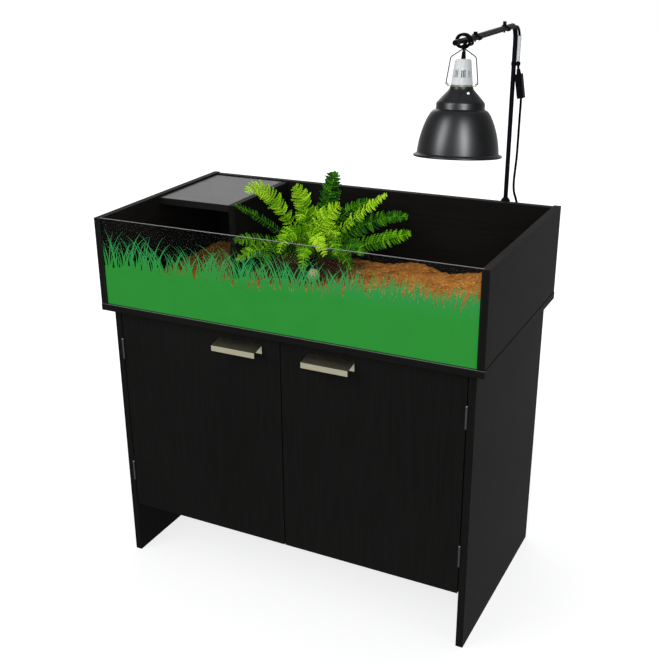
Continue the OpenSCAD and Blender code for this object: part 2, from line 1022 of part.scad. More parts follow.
module shade_screw() {
    color(steel) in_head() at_shade_screw() {
        translate([0, 0, -4]) cylinder(h = 5, r = 1.5);
        translate([0, 0, 0.15]) cylinder(h = 1.5, r1 = 3, r2 = 2);
        translate([0, 0, -3.2]) cylinder(h = 1.8, r = 2.8);
    }
}

module lamp_bulb() {
    cap_r = thread_r - 0.25;
    neck_z = nut_foot - 3;
    color("snow") in_head() rotate_extrude() polygon(concat(
        [[0, holder_top - 10], [5, holder_top - 10], [cap_r, holder_top - 18]],
        [[cap_r, neck_z], [cap_r + 0.4, neck_z - 6]],
        [for (a = [40:-20:-80]) [bulb_r * cos(a), bulb_z + bulb_r * sin(a)]],
        [[0, bulb_z - bulb_r]]));
}

// --------------------------------------------------------------------- cord
function switch_point(z) = switch_at + z * [-sin(switch_lean), 0, cos(switch_lean)];

// Point on the head's axis, z above the bail's pivots
function head_point(z) =
    let (back = z * sin(lamp_lean), up = z * cos(lamp_lean) - bail_rise, over = up * sin(lamp_swing))
    [
        pole_x + over * cos(lamp_yaw) - back * sin(lamp_yaw),
        hang_y + over * sin(lamp_yaw) + back * cos(lamp_yaw),
        hang_z + up * cos(lamp_swing)
    ];

function by_arm(x, y, z) = [pole_x + x, hang_y + y, arm_z + z];

arm_route = concat(
    [switch_point(16), switch_point(26), switch_point(36)],
    [for (up = [[9.7, -84], [9.3, -77], [9.15, -66], [9.15, -54], [9.15, -42]])
        [pole_x + up[0], pole_y, arm_z + up[1]]],
    [for (a = [0:18:90]) [
        pole_x + 9.15 - 0.3 * a / 90,
        pole_y - pole_bend + (pole_bend - 1.6 * a / 90) * cos(a),
        arm_z - pole_bend + (pole_bend - 1.6 * a / 90) * sin(a)
    ]],
    [for (k = [1:arm_stretches]) [
        pole_x + arm_cord_at.x,
        pole_y - pole_bend + (cord_split - pole_y + pole_bend) * k / arm_stretches,
        arm_z + arm_cord_at.y
    ]]);
// Two turns round the arm and the cord itself, then down to the lamp
loop_route = [
    by_arm(8.85, 39, -1.6),
    by_arm(8.8, 25, -1.4),
    by_arm(8.6, 12, -1),
    by_arm(8.5, 0, -0.6),
    by_arm(8.3, -9, -1),
    by_arm(5.8, -15.5, -7),
    by_arm(-1, -17.5, -10.6),
    by_arm(-7.8, -17.3, -7.4),
    by_arm(-10.2, -16.5, 0),
    by_arm(-7.4, -15.6, 8),
    by_arm(0.6, -14.8, 11.4),
    by_arm(9.4, -14, 9.2),
    by_arm(14.6, -13.2, 0.8),
    by_arm(12.6, -12, -8.2),
    by_arm(3.6, -10.8, -12.9),
    by_arm(-6.6, -10.8, -9),
    by_arm(-10.3, -10.2, 0),
    by_arm(-7.4, -9.2, 8.2),
    by_arm(0.8, -8.2, 11.6),
    by_arm(9.6, -6.6, 9.4),
    by_arm(14.9, -3.8, 1.5),
    by_arm(15.2, 3, -3.5),
    by_arm(13.4, 9, -6.8)
];
neck_route = [
    by_arm(9.8, 12, -8.8),
    by_arm(5.4, 12.2, -9.8),
    by_arm(1, 10.8, -12.2),
    by_arm(-1.8, 8.8, -16.6),
    head_point(grip_top - 0.5),
    head_point(grip_top - grip_socket + 1)
];
upper_line = smooth(concat(arm_route, loop_route, neck_route), 2);
arm_last = 2 * (len(arm_route) - 1);
loop_last = 2 * (len(arm_route) + len(loop_route) - 1);

module cord_arm() {
    color(black_paint) cord(upper_line, 0, arm_last, 8);
}

module cord_loop() {
    color(black_paint) cord(upper_line, arm_last, loop_last, 8);
}

module cord_neck() {
    color(black_paint) cord(upper_line, loop_last, len(upper_line) - 1, 8);
}

// Straight stretch and the start of the bend that the sleeve covers
module sleeve_run(r, low, turn) {
    translate([pole_x + cord_side, pole_y, arm_z - low])
        cylinder(h = low - pole_bend, r = r);
    translate([pole_x + cord_side, pole_y - pole_bend, arm_z - pole_bend])
        rotate([90, 0, 90]) rotate_extrude(angle = turn) translate([pole_bend, 0]) circle(r);
}

module cord_sleeve() {
    color("white") difference() {
        sleeve_run(sleeve_r, sleeve_drop, sleeve_turn);
        sleeve_run(cord_r + 0.6, sleeve_drop + cut, sleeve_turn + 1);
    }
}

module in_switch() {
    translate(switch_at) rotate([0, -switch_lean, 0]) children();
}

module rounded_block(size, r) {
    core = [size.x - 2 * r, size.y - 2 * r, size.z];
    cube([size.x, core.y, size.z], center = true);
    cube([core.x, size.y, size.z], center = true);
    for (x = [-core.x / 2, core.x / 2]) for (y = [-core.y / 2, core.y / 2])
        translate([x, y, 0]) cylinder(h = size.z, r = r, center = true);
}

module switch_body() {
    color(black_paint) in_switch() difference() {
        union() {
            rounded_block(switch_size, 3);
            translate([0, 0, switch_size.z / 2])
                cylinder(h = 11, r1 = cord_r + 2.4, r2 = cord_r + 1.2);
        }
        translate([-rocker_size.x / 2 - loose, -switch_size.y, -rocker_size.y / 2 - loose])
            cube([rocker_size.x + 2 * loose, switch_size.y / 2 + rocker_depth + 4.2,
                rocker_size.y + 2 * loose]);
        at_rocker() rotate([0, 90, 0])
            cylinder(h = rocker_size.x + 2.4, r = 1 + loose, center = true);
        translate([0, 0, 15]) cylinder(h = 30, r = cord_r + running);
        translate([0, 0, -45]) cylinder(h = 30, r = cord_r + running);
    }
}

module at_rocker() {
    translate([0, rocker_depth - switch_size.y / 2, 0]) children();
}

module switch_rocker() {
    color("dimgray") in_switch() at_rocker() rotate([-rocker_lean, 0, 0]) {
        rotate([90, 0, 90]) translate([0, 0, -rocker_size.x / 2])
            linear_extrude(rocker_size.x) polygon([
                [-3.4, -8.1], [-2.2, 0], [-3.4, 8.1], [1.5, 8.6], [3, 4], [3, -4],
                [1.5, -8.6]
            ]);
        rotate([0, 90, 0]) cylinder(h = rocker_size.x + 2, r = 1, center = true);
    }
}

// Height of the coil in layers after s turns from the floor: level, then climbing
function coil_layer(s) =
    floor(s) + (1 - cos(180 * max(0, 2 * (s - floor(s)) - 1))) / 2;

coil_line = [for (i = [0:coil_rings]) let (t = coil_turns * i / coil_rings) [
    coil_at.x + coil_r * cos(360 * t),
    coil_at.y + coil_r * sin(360 * t),
    coil_low + coil_pitch * coil_layer(coil_turns - t)
]];
tail_route = [
    [coil_at.x - 9, plug_at.y, coil_low],
    [coil_at.x - 18, plug_at.y, coil_low + 1],
    [coil_at.x - 29, plug_at.y, coil_low + 3.2],
    [coil_at.x - 40, plug_at.y, plug_at.z - 0.7],
    [coil_at.x - 50, plug_at.y, plug_at.z],
    [coil_at.x - 62, plug_at.y, plug_at.z]
];
drop_route = concat(
    [switch_point(-17), switch_point(-26)],
    [for (down = [
        [20.9, 0, 171], [20.6, 0, 195], [20.4, 0, 225], [20.2, 0, 258], [19.6, 0, 290],
        [17.8, 0, 320], [16.8, 0, 345], [18.6, 0, 366], [24, 1, 383], [28.6, 1, 401],
        [30.8, 0, 425], [31.4, -3, 455], [31.8, -5, 495], [32.4, -6, 545]
    ]) [pole_x + down[0], pole_y + down[1], arm_z - down[2]]],
    [for (z = [cabinet_height:-65:260]) [pole_x + 32.5, pole_y - 6.5, z]],
    [
        [pole_x + 32, pole_y - 6, 200],
        [pole_x + 31, pole_y - 3, 145],
        [pole_x + 28, pole_y + 3, 100],
        [pole_x + 22, pole_y + 12, 64],
        [pole_x + 13.5, pole_y + 22, 41],
        [pole_x + 7, pole_y + 31, 30]
    ]);
drop_steps = 2;
lower_line = concat(
    smooth(concat(drop_route, [coil_line[0]]), drop_steps),
    [for (i = [1:coil_rings]) coil_line[i]],
    tail_route);
drop_last = drop_steps * len(drop_route);
function least_gap(line, first, last, apart) =
    min([for (i = [first:last - apart]) for (k = [i + apart:last])
        norm(line[i] - line[k]) - cord_d]);
echo(coil_gap = least_gap(coil_line, 0, coil_rings, 20));
echo(wrap_gap = least_gap(upper_line, arm_last, loop_last, 8));

module cord_drop() {
    color(black_paint) cord(lower_line, 0, drop_last, 8);
}

module cord_coil() {
    color(black_paint) intersection() {
        cord(lower_line, drop_last, len(lower_line) - 1, 6);
        block([coil_at.x - 100, coil_at.y - 60, 0], [coil_at.x + 60, coil_at.y + 60, 60]);
    }
}

// Two-pin plug lying on its flat side, with its tapered cord relief towards the coil
module lamp_plug() {
    color(black_paint) translate(plug_at) difference() {
        union() {
            translate([0, 0, -plug_size.z / 2]) linear_extrude(plug_size.z) polygon([
                [-plug_size.x / 2, -plug_size.y / 2],
                [-plug_size.x / 2 + 14, -plug_size.y / 2],
                [plug_size.x / 2, -plug_size.y / 4],
                [plug_size.x / 2, plug_size.y / 4],
                [-plug_size.x / 2 + 14, plug_size.y / 2],
                [-plug_size.x / 2, plug_size.y / 2]
            ]);
            translate([plug_size.x / 2, 0, 0]) rotate([0, 90, 0])
                cylinder(h = plug_relief, r1 = 6, r2 = cord_r + 0.9);
            for (side = [-1, 1]) translate([-plug_size.x / 2, side * 9.5, 0])
                rotate([0, -90, 0]) cylinder(h = 19, r = 2.4);
        }
        translate([plug_size.x / 2 - 4, 0, 0]) rotate([0, 90, 0])
            cylinder(h = plug_relief + 10, r = cord_r + running);
    }
}

// ----------------------------------------------------------------- contents
function bump(x, y, at, wide, deep) =
    exp(-pow((x - at.x) / wide, 2) - pow((y - at.y) / deep, 2));

function bedding_z(x, y) = norm([x, y] - ball_at) < ball_level_r ? ball_floor :
    base_top + bedding_depth
    + 11 * bump(x, y, [125, back_front], 50, 130)
    + 12 * bump(x, y, [330, back_front], 70, 150)
    - 5 * bump(x, y, [206, back_front], 34, 90)
    + 1.1 * sin(x * 7.3 + y * 3.1) + 1.1 * sin(y * 8.7 - x * 4.9);

// Positions that split the stretch from a to b in n cells, without the last one
function span(a, b, n) = [for (i = [0:n - 1]) a + (b - a) * i / n];

bedding_side = tray_in - loose;
bedding_front = tray_front + channel_depth + loose;
bedding_rear = back_front - loose;
bedding_xs = concat(
    span(-bedding_side, divider_left - loose, 8),
    span(divider_left - loose, divider_right + loose, 1),
    span(divider_right + loose, crown_at.x - crown_well, 3),
    span(crown_at.x - crown_well, crown_at.x + crown_well, 1),
    span(crown_at.x + crown_well, bedding_side, 23),
    [bedding_side]);
bedding_ys = concat(
    span(bedding_front, hide_front - loose, 6),
    span(hide_front - loose, crown_at.y - crown_well, 6),
    span(crown_at.y - crown_well, crown_at.y + crown_well, 1),
    span(crown_at.y + crown_well, bedding_rear, 3),
    [bedding_rear]);

// Cells with bedding: all but the divider's and the one that the fern's foot is in
function bedded(i, j) = i >= 0 && j >= 0 && i < len(bedding_xs) - 1
    && j < len(bedding_ys) - 1 && !(i == 8 && j >= 6) && !(i == 12 && j == 12);

module bedding() {
    nx = len(bedding_xs);
    ny = len(bedding_ys);
    low = nx * ny;
    points = concat(
        [for (y = bedding_ys) for (x = bedding_xs) [x, y, bedding_z(x, y)]],
        [for (y = bedding_ys) for (x = bedding_xs) [x, y, base_top]]);
    faces = [for (j = [0:ny - 2]) for (i = [0:nx - 2]) if (bedded(i, j))
        let (a = j * nx + i, b = a + 1, c = a + nx + 1, d = a + nx)
        each concat(
            [[a, d, c], [a, c, b], [low + a, low + b, low + c, low + d]],
            bedded(i, j - 1) ? [] : [[a, b, low + b, low + a]],
            bedded(i + 1, j) ? [] : [[b, c, low + c, low + b]],
            bedded(i, j + 1) ? [] : [[c, d, low + d, low + c]],
            bedded(i - 1, j) ? [] : [[d, a, low + a, low + d]])];
    color([0.62, 0.32, 0.13]) polyhedron(points, faces);
}

module ribbed_ball() {
    color([0.9, 0.85, 0.55]) translate([ball_at.x, ball_at.y, ball_floor + ball_low])
        rotate_extrude() polygon(concat(
            [[0, -ball_low]],
            [for (i = [0:12]) let (r = ball_r - (i % 2) * 0.9, a = ball_start + 13 * i)
                [r * cos(a), r * sin(a)]],
            [[0, ball_low]]));
}

// Each frond: where its tip is, where its curve is drawn to, and its half width
fronds = [
    [[-75, -154, 206], [-33, -60, 260], 11],
    [[-34, -15, 178], [-5, -5, 110], 9],
    [[76, -15, 224], [50, -10, 120], 10],
    [[110, -60, 145], [60, -30, 130], 10],
    [[209, -15, 180], [110, -10, 130], 11],
    [[263, -15, 124], [150, -10, 150], 11],
    [[273, -40, 90], [150, -20, 120], 11],
    [[-74, -219, 177], [-49, -76, 146], 9],
    [[-112, -222, 66], [-60, -110, 140], 10],
    [[-70, -230, 45], [-30, -120, 130], 9],
    [[60, -190, 75], [30, -100, 170], 10],
    [[110, -170, 60], [60, -90, 170], 10],
    [[160, -120, 55], [90, -60, 160], 10],
    [[10, -200, 60], [5, -100, 160], 9],
    [[-60, 50, 150], [-30, 30, 120], 9],
    [[60, 45, 165], [30, 30, 110], 9],
    [[150, 35, 150], [80, 25, 140], 10]
];

function frond_point(to, by, t) = 2 * t * (1 - t) * by + t * t * to;

// Narrow stalk, then leaf teeth that open fast and close towards the tip
function frond_half(wide, t) = t < 0.25 ? 1.3 :
    1.3 + wide * pow(sin(180 * pow((t - 0.25) / 0.78, 0.7)), 0.8);

module frond(to, by, wide) {
    line = [for (i = [0:frond_rings]) frond_point(to, by, i / frond_rings)];
    ways = headings(line);
    skin([for (i = [0:frond_rings])
        let (side = unit(cross(ways[i], [0.35, -0.8, 0.55])),
            half = frond_half(wide, i / frond_rings) * (i % 2 == 0 ? 0.55 : 1))
        [
            line[i] + side * half,
            line[i] + cross(ways[i], side) * 0.8,
            line[i] - side * half,
            line[i] - cross(ways[i], side) * 0.8
        ]]);
}

module fern() {
    color(leaf_green) translate([crown_at.x, crown_at.y, crown_z]) {
        for (f = fronds) frond(f[0], f[1], f[2]);
        sphere(crown_r);
        translate([0, 0, base_top - crown_z]) cylinder(h = crown_z - base_top, r = fern_foot_r);
    }
}

tray_base();
tray_left_side();
tray_right_side();
tray_back();
glass_left_channel();
glass_right_channel();
front_glass();
grass_print();
hide_divider();
hide_roof();
roof_pegs();
chipboard_screws();
wood_dowels();
cabinet_left_side();
cabinet_right_side();
cabinet_floor();
cabinet_front_rail();
cabinet_rear_rail();
cabinet_back();
left_door();
right_door();
left_handle();
right_handle();
left_handle_screws();
right_handle_screws();
left_hinge_leaves();
right_hinge_leaves();
side_hinge_leaves();
hinge_pins();
door_magnets();
left_strike();
right_strike();
pole_bracket();
bracket_screws();
pole_collar();
lamp_pole();
arm_end_cap();
arm_hook();
cord_clips();
lamp_bail();
bail_ring();
lamp_cover();
cord_grip();
lamp_holder();
holder_nut();
lamp_shade();
shade_screw();
lamp_bulb();
cord_arm();
cord_loop();
cord_neck();
cord_sleeve();
switch_body();
switch_rocker();
cord_drop();
cord_coil();
lamp_plug();
bedding();
fern();
ribbed_ball();
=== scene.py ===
"""Looks of a terrarium stand: a printed glass tray on a two-door cabinet, with a hanging heat lamp."""

import logging
import math
import random
from dataclasses import dataclass
from enum import Enum
from typing import Any, Callable, Dict, Iterable, List, Sequence, Tuple

import bmesh
import bpy
from mathutils import Matrix, Vector


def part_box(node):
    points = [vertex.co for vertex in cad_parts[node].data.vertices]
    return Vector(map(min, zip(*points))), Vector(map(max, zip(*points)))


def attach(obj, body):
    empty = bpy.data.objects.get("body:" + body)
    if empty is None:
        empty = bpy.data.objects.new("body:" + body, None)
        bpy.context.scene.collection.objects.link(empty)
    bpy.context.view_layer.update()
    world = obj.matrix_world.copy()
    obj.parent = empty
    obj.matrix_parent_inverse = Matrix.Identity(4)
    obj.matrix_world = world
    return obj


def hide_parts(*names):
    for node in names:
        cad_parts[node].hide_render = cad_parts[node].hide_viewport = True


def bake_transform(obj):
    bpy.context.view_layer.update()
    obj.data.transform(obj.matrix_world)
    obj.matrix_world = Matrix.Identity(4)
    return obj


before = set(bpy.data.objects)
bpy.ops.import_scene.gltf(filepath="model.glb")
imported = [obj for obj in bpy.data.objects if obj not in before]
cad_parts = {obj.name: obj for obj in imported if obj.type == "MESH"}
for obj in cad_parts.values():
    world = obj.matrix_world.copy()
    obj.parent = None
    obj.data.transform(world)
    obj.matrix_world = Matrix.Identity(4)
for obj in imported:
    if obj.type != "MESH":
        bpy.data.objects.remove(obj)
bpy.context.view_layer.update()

LOG = logging.getLogger("terrarium")
Pair = Tuple[float, float]
Point = Tuple[float, float, float]
Colour = Tuple[float, float, float]
Piece = bpy.types.Object

# Sizes shared with the CAD model, in metres
TRAY_FRONT = -0.25825
TRAY_REAR = 0.25175
BASE_TOP = 0.671
POLE_X = 0.3255
POLE_Y = TRAY_REAR + 0.012
POLE_BEND = 0.030
ARM_Z = 1.259
HANG_Y = TRAY_FRONT + 0.184
HANG_Z = ARM_Z - 0.0175
BAIL_RISE = 0.0645
LAMP_YAW = math.radians(18.7)
LAMP_SWING = math.radians(1.2)
LAMP_LEAN = math.radians(7.0)
CORD_D = 0.0055
BALL_SPOT = (-0.055, TRAY_FRONT + 0.290)


# ---------------------------------------------------------------- shader tools
class Signal:
    """A shader socket that Python arithmetic can be written on."""

    def __init__(self, graph: "Graph", socket: Any) -> None:
        """Keeps the socket and the graph it belongs to."""
        self.graph = graph
        self.socket = socket

    def _join(self, operation: str, other: Any) -> "Signal":
        """Adds one Math node on this signal and a number or another signal."""
        return self.graph.node("ShaderNodeMath", {"operation": operation}, {0: self, 1: other})

    def __add__(self, other: Any) -> "Signal":
        """Sum."""
        return self._join("ADD", other)

    def __sub__(self, other: Any) -> "Signal":
        """Difference."""
        return self._join("SUBTRACT", other)

    def __mul__(self, other: Any) -> "Signal":
        """Product."""
        return self._join("MULTIPLY", other)

    def at_least(self, other: Any) -> "Signal":
        """Larger of the two."""
        return self._join("MAXIMUM", other)

    def span(self, low: float, high: float, to_low: float = 0.0, to_high: float = 1.0) -> "Signal":
        """Smooth step from to_low, at and below low, up to to_high, at and above high."""
        sockets = {0: self, 1: low, 2: high, 3: to_low, 4: to_high}
        return self.graph.node("ShaderNodeMapRange", {"interpolation_type": "SMOOTHSTEP"}, sockets)


class Graph:
    """The node tree of one material or world."""

    def __init__(self, owner: Any, end: str = "ShaderNodeOutputMaterial") -> None:
        """Empties the tree but for its output.

        Args:
            owner: The new material or world.
            end: Type of its output node.
        """
        self.owner = owner
        owner.use_nodes = True
        self.tree = owner.node_tree
        self.tree.nodes.clear()
        self.output = self.tree.nodes.new(end)

    def node(self, kind: str, settings: Dict[str, Any], sockets: Dict[Any, Any], out: Any = 0) -> Signal:
        """Adds any node.

        Args:
            kind: The node's type.
            settings: Its settings, set before its sockets.
            sockets: Values or signals by the input's name or number.
            out: The output that is wanted.

        Returns:
            That output.
        """
        node = self.tree.nodes.new(kind)
        for key, value in settings.items():
            setattr(node, key, value)
        for key, value in sockets.items():
            socket = node.inputs[key]
            if isinstance(value, Signal):
                self.tree.links.new(value.socket, socket)
            elif isinstance(value, tuple) and socket.type == "RGBA":
                socket.default_value = (*value, 1.0)
            else:
                socket.default_value = value
        return Signal(self, node.outputs[out])

    def coords(self) -> Signal:
        """Object coordinates."""
        return self.node("ShaderNodeTexCoord", {}, {}, "Object")

    def axis(self, letter: str) -> Signal:
        """One of the coordinates. Z is the height above the floor, as every piece sits at the origin."""
        return self.node("ShaderNodeSeparateXYZ", {}, {0: self.coords()}, letter)

    def place(self, stretch: Point = (1.0, 1.0, 1.0)) -> Signal:
        """Object coordinates, stretched."""
        return self.node("ShaderNodeMapping", {}, {"Vector": self.coords(), "Scale": stretch})

    def noise(
        self, scale: float, detail: float = 3.0, stretch: Point = (1.0, 1.0, 1.0), rough: float = 0.55
    ) -> Signal:
        """Noise from 0 to 1."""
        sockets = {"Vector": self.place(stretch), "Scale": scale, "Detail": detail, "Roughness": rough}
        return self.node("ShaderNodeTexNoise", {}, sockets)

    def cells(self, scale: float) -> Signal:
        """Distance to the nearest of scattered cells."""
        return self.node("ShaderNodeTexVoronoi", {}, {"Vector": self.place(), "Scale": scale}, "Distance")

    def number(self, name: str) -> Signal:
        """A number kept on the mesh under that name."""
        return self.node("ShaderNodeAttribute", {"attribute_name": name}, {}, "Fac")

    def blend(self, factor: Any, low: Any, high: Any) -> Signal:
        """Mixes two colours by a factor."""
        return self.node("ShaderNodeMix", {"data_type": "RGBA"}, {0: factor, 6: low, 7: high}, 2)

    def ramp(self, factor: Signal, *stops: Tuple[float, Colour]) -> Signal:
        """Picks a colour by a factor.

        Args:
            factor: The signal that picks.
            stops: Place and colour of each stop, in order.

        Returns:
            The colour.
        """
        result = self.node("ShaderNodeValToRGB", {}, {0: factor})
        elements = result.socket.node.color_ramp.elements
        while len(elements) < len(stops):
            elements.new(1.0)
        for element, (place, colour) in zip(elements, stops):
            element.position = place
            element.color = (*colour, 1.0)
        return result

    def bump(self, height: Signal, strength: float, distance: float) -> Signal:
        """Normal that follows a height."""
        return self.node("ShaderNodeBump", {}, {"Height": height, "Strength": strength, "Distance": distance})

    def seen(self) -> Signal:
        """Tells the rays that show the background from those that light the part.

        Returns:
            1 for camera, glossy and transmission rays, 0 for the rest.
        """
        total = self.node("ShaderNodeLightPath", {}, {}, "Is Camera Ray")
        path = total.socket.node
        for name in ("Is Glossy Ray", "Is Transmission Ray"):
            total = total.at_least(Signal(self, path.outputs[name]))
        return total

    def close(self, shader: Signal) -> Any:
        """Links the last shader to the output and returns the material or world."""
        self.tree.links.new(shader.socket, self.output.inputs[0])
        return self.owner


# -------------------------------------------------------------------- finishes
class Grain(Enum):
    """Axis along which a board's grain runs."""

    ALONG_X = (0.35, 9.0, 9.0)
    ALONG_Y = (9.0, 0.35, 9.0)
    ALONG_Z = (9.0, 9.0, 0.35)


@dataclass(frozen=True)
class Finish:
    """A surface; the base class holds what all of them share."""

    name: str
    colour: Colour = (0.5, 0.5, 0.5)
    rough: float = 0.5

    def times(self, factor: float) -> Colour:
        """Its colour, lighter or darker."""
        return tuple(c * factor for c in self.colour)

    def sockets(self, g: Graph) -> Dict[str, Any]:
        """Draws the surface in a material's graph.

        Args:
            g: The graph.

        Returns:
            Values and signals for the Principled shader's inputs, by name.
        """
        raise NotImplementedError

    def material(self) -> bpy.types.Material:
        """Returns the material, made once."""
        known = bpy.data.materials.get(self.name)
        if known:
            return known
        g = Graph(bpy.data.materials.new(self.name))
        return g.close(g.node("ShaderNodeBsdfPrincipled", {}, self.sockets(g)))


@dataclass(frozen=True)
class Melamine(Finish):
    """Black foil board with an embossed wood grain, and a painted highlight: a pale line on a front lip at a height.
    """

    grain: Grain = Grain.ALONG_X
    lip: float = 0.0
    specular: float = 0.008
    lip_highlight_colour: Colour = (0.2, 0.26, 0.21)

    def sockets(self, g: Graph) -> Dict[str, Any]:
        """Draws veins, open pores and clouds of the printed grain.

        Args:
            g: The material's graph.

        Returns:
            Inputs of the Principled shader.
        """
        stretch = self.grain.value
        veins = g.noise(22.0, 4.0, stretch, 0.62)
        pores = g.noise(130.0, 2.0, stretch, 0.7).span(0.56, 0.78)
        cloud = g.noise(3.0, 2.0)
        tone = (veins * 0.6 + cloud * 0.4).span(0.25, 0.75)
        board = g.blend(pores * 0.4, g.blend(tone, self.times(0.8), self.times(1.3)), self.times(0.45))
        if self.lip:
            # Painted highlight: a pale line along the top of the front lip, where its edge catches the light.
            in_front = g.axis("Y").span(TRAY_FRONT + 0.0024, TRAY_FRONT + 0.0027, 1.0, 0.0)
            painted_lip_highlight = g.axis("Z").span(self.lip - 0.0011, self.lip - 0.0007) * in_front
            board = g.blend(painted_lip_highlight * (veins * 0.5 + 0.5), board, self.lip_highlight_colour)
        return {
            "Base Color": board,
            "Roughness": veins * 0.12 + (self.rough - 0.06) + pores * 0.1,
            "Specular IOR Level": self.specular,
            "Normal": g.bump(veins * 0.5 - pores, 0.2, 0.0003),
        }


@dataclass(frozen=True)
class Coated(Finish):
    """Painted or enamelled metal with a fine orange peel."""

    peel: float = 420.0
    depth: float = 0.12
    specular: float = 0.5

    def sockets(self, g: Graph) -> Dict[str, Any]:
        """Draws the peel and slight wear of the coat.

        Args:
            g: The material's graph.

        Returns:
            Inputs of the Principled shader.
        """
        peel = g.noise(self.peel, 2.0)
        wear = g.noise(24.0, 4.0)
        worn = tuple(c + 0.001 for c in self.times(1.35))
        return {
            "Base Color": g.blend(wear.span(0.35, 0.7), self.colour, worn),
            "Roughness": wear * 0.1 + (self.rough - 0.05),
            "Specular IOR Level": self.specular,
            "Normal": g.bump(peel, self.depth, 0.0003),
        }


@dataclass(frozen=True)
class Moulded(Finish):
    """Injection-moulded plastic or rubber with a fine texture."""

    texture: float = 900.0
    depth: float = 0.15
    specular: float = 0.4

    def sockets(self, g: Graph) -> Dict[str, Any]:
        """Draws the fine texture and faint patches of the mould.

        Args:
            g: The material's graph.

        Returns:
            Inputs of the Principled shader.
        """
        fine = g.cells(self.texture)
        patch = g.noise(30.0, 3.0)
        return {
            "Base Color": g.blend(patch.span(0.3, 0.75), self.times(0.85), self.colour),
            "Roughness": patch * 0.14 + (self.rough - 0.07),
            "Specular IOR Level": self.specular,
            "Normal": g.bump(fine, self.depth, 0.0002),
        }


@dataclass(frozen=True)
class Brushed(Finish):
    """Metal with fine lines along one axis."""

    stretch: Point = (0.02, 1.0, 1.0)

    def sockets(self, g: Graph) -> Dict[str, Any]:
        """Draws brush lines and dull places.

        Args:
            g: The material's graph.

        Returns:
            Inputs of the Principled shader.
        """
        lines = g.noise(2600.0, 2.0, self.stretch, 0.6)
        dull = g.noise(18.0, 3.0)
        return {
            "Base Color": g.blend(lines.span(0.3, 0.7), self.times(0.8), self.colour),
            "Metallic": 1.0,
            "Roughness": lines * 0.14 + (self.rough - 0.07) + dull * 0.06,
            "Normal": g.bump(lines, 0.12, 0.0002),
        }


@dataclass(frozen=True)
class Glass(Finish):
    """Clear float glass: nearly unseen on its faces, pale on its cut top edge."""

    top: float = 1.0

    def sockets(self, g: Graph) -> Dict[str, Any]:
        """Draws clear faces with a faint smear, and the cut edge at the top.

        Args:
            g: The material's graph.

        Returns:
            Inputs of the Principled shader.
        """
        edge = g.axis("Z").span(self.top - 0.00012, self.top - 0.00004)
        smear = g.noise(9.0, 3.0).span(0.45, 0.8)
        return {
            "Base Color": g.blend(edge, (0.012, 0.015, 0.014), self.colour),
            "Roughness": smear * 0.08 + self.rough + edge * 0.45,
            "Alpha": edge * 0.7 + smear * 0.012 + 0.03,
            "Specular IOR Level": 0.5,
        }


@dataclass(frozen=True)
class Film(Finish):
    """Printed film, an even ink that turns cooler up in the blades."""

    blade_colour: Colour = (0.5, 0.5, 0.5)

    def sockets(self, g: Graph) -> Dict[str, Any]:
        """Draws mottled ink with the print's fine dots.

        Args:
            g: The material's graph.

        Returns:
            Inputs of the Principled shader.
        """
        mottle = g.noise(14.0, 3.0)
        rise = g.axis("Z").span(BASE_TOP + 0.085, BASE_TOP + 0.15) * 0.85
        dots = g.cells(2200.0)
        ink = g.blend(mottle.span(0.3, 0.75), self.times(0.95), self.colour)
        return {
            "Base Color": g.blend(rise, ink, self.blade_colour),
            "Roughness": mottle * 0.08 + self.rough,
            "Specular IOR Level": 0.06,
            "Normal": g.bump(dots, 0.04, 0.0001),
        }


@dataclass(frozen=True)
class Bark(Finish):
    """Loose shredded bark and coir, darkened round one place by a painted shadow of the fern."""

    painted_shadow_centre: Point = (0.0, 0.0, 0.0)

    def sockets(self, g: Graph) -> Dict[str, Any]:
        """Draws shreds and clumps, each chip in its own tone, and a painted shadow round the fern.

        Args:
            g: The material's graph.

        Returns:
            Inputs of the Principled shader.
        """
        shred = g.noise(260.0, 4.0, (1.0, 1.8, 1.0), 0.7)
        clump = g.noise(34.0, 4.0)
        tone = (shred * 0.6 + clump * 0.35 + g.number("chip") * 0.3).span(0.22, 0.82)
        bark = g.ramp(
            tone,
            (0.0, (0.16, 0.045, 0.008)),
            (0.3, (0.52, 0.18, 0.024)),
            (0.65, (0.84, 0.36, 0.06)),
            (1.0, (0.98, 0.64, 0.25)),
        )
        # Painted shadow: the bark turns dark brown within about 0.1 to 0.2 m of a point by the fern's crown, where
        # the fern's shade falls.
        off = g.node("ShaderNodeVectorMath", {"operation": "DISTANCE"}, {0: g.coords(), 1: self.painted_shadow_centre}, "Value")
        outside_painted_shadow = (off + (clump - 0.5) * 0.12).span(0.09, 0.19)
        return {
            "Base Color": g.blend(outside_painted_shadow, (0.075, 0.028, 0.008), bark),
            "Roughness": 0.92,
            "Specular IOR Level": 0.2,
            "Normal": g.bump(shred + clump, 0.8, 0.004),
        }


@dataclass(frozen=True)
class Leaf(Finish):
    """Fern leaf, from deep to yellow green by the frond's own tone."""

    def sockets(self, g: Graph) -> Dict[str, Any]:
        """Draws a flecked blade with a darker vein.

        Args:
            g: The material's graph.

        Returns:
            Inputs of the Principled shader.
        """
        tone = g.number("tone")
        vein = g.number("vein")
        fleck = g.noise(90.0, 4.0)
        green = g.ramp(
            tone + (fleck - 0.5) * 0.7 - vein * 0.3 + 0.1,
            (0.0, (0.022, 0.013, 0.006)),
            (0.07, (0.006, 0.04, 0.008)),
            (0.32, (0.022, 0.14, 0.008)),
            (0.6, (0.13, 0.42, 0.006)),
            (0.83, (0.36, 0.7, 0.01)),
            (1.0, (0.6, 0.88, 0.05)),
        )
        return {
            "Base Color": green,
            "Roughness": fleck * 0.15 + self.rough,
            "Specular IOR Level": 0.06,
            "Normal": g.bump(fleck - vein, 0.5, 0.0008),
        }


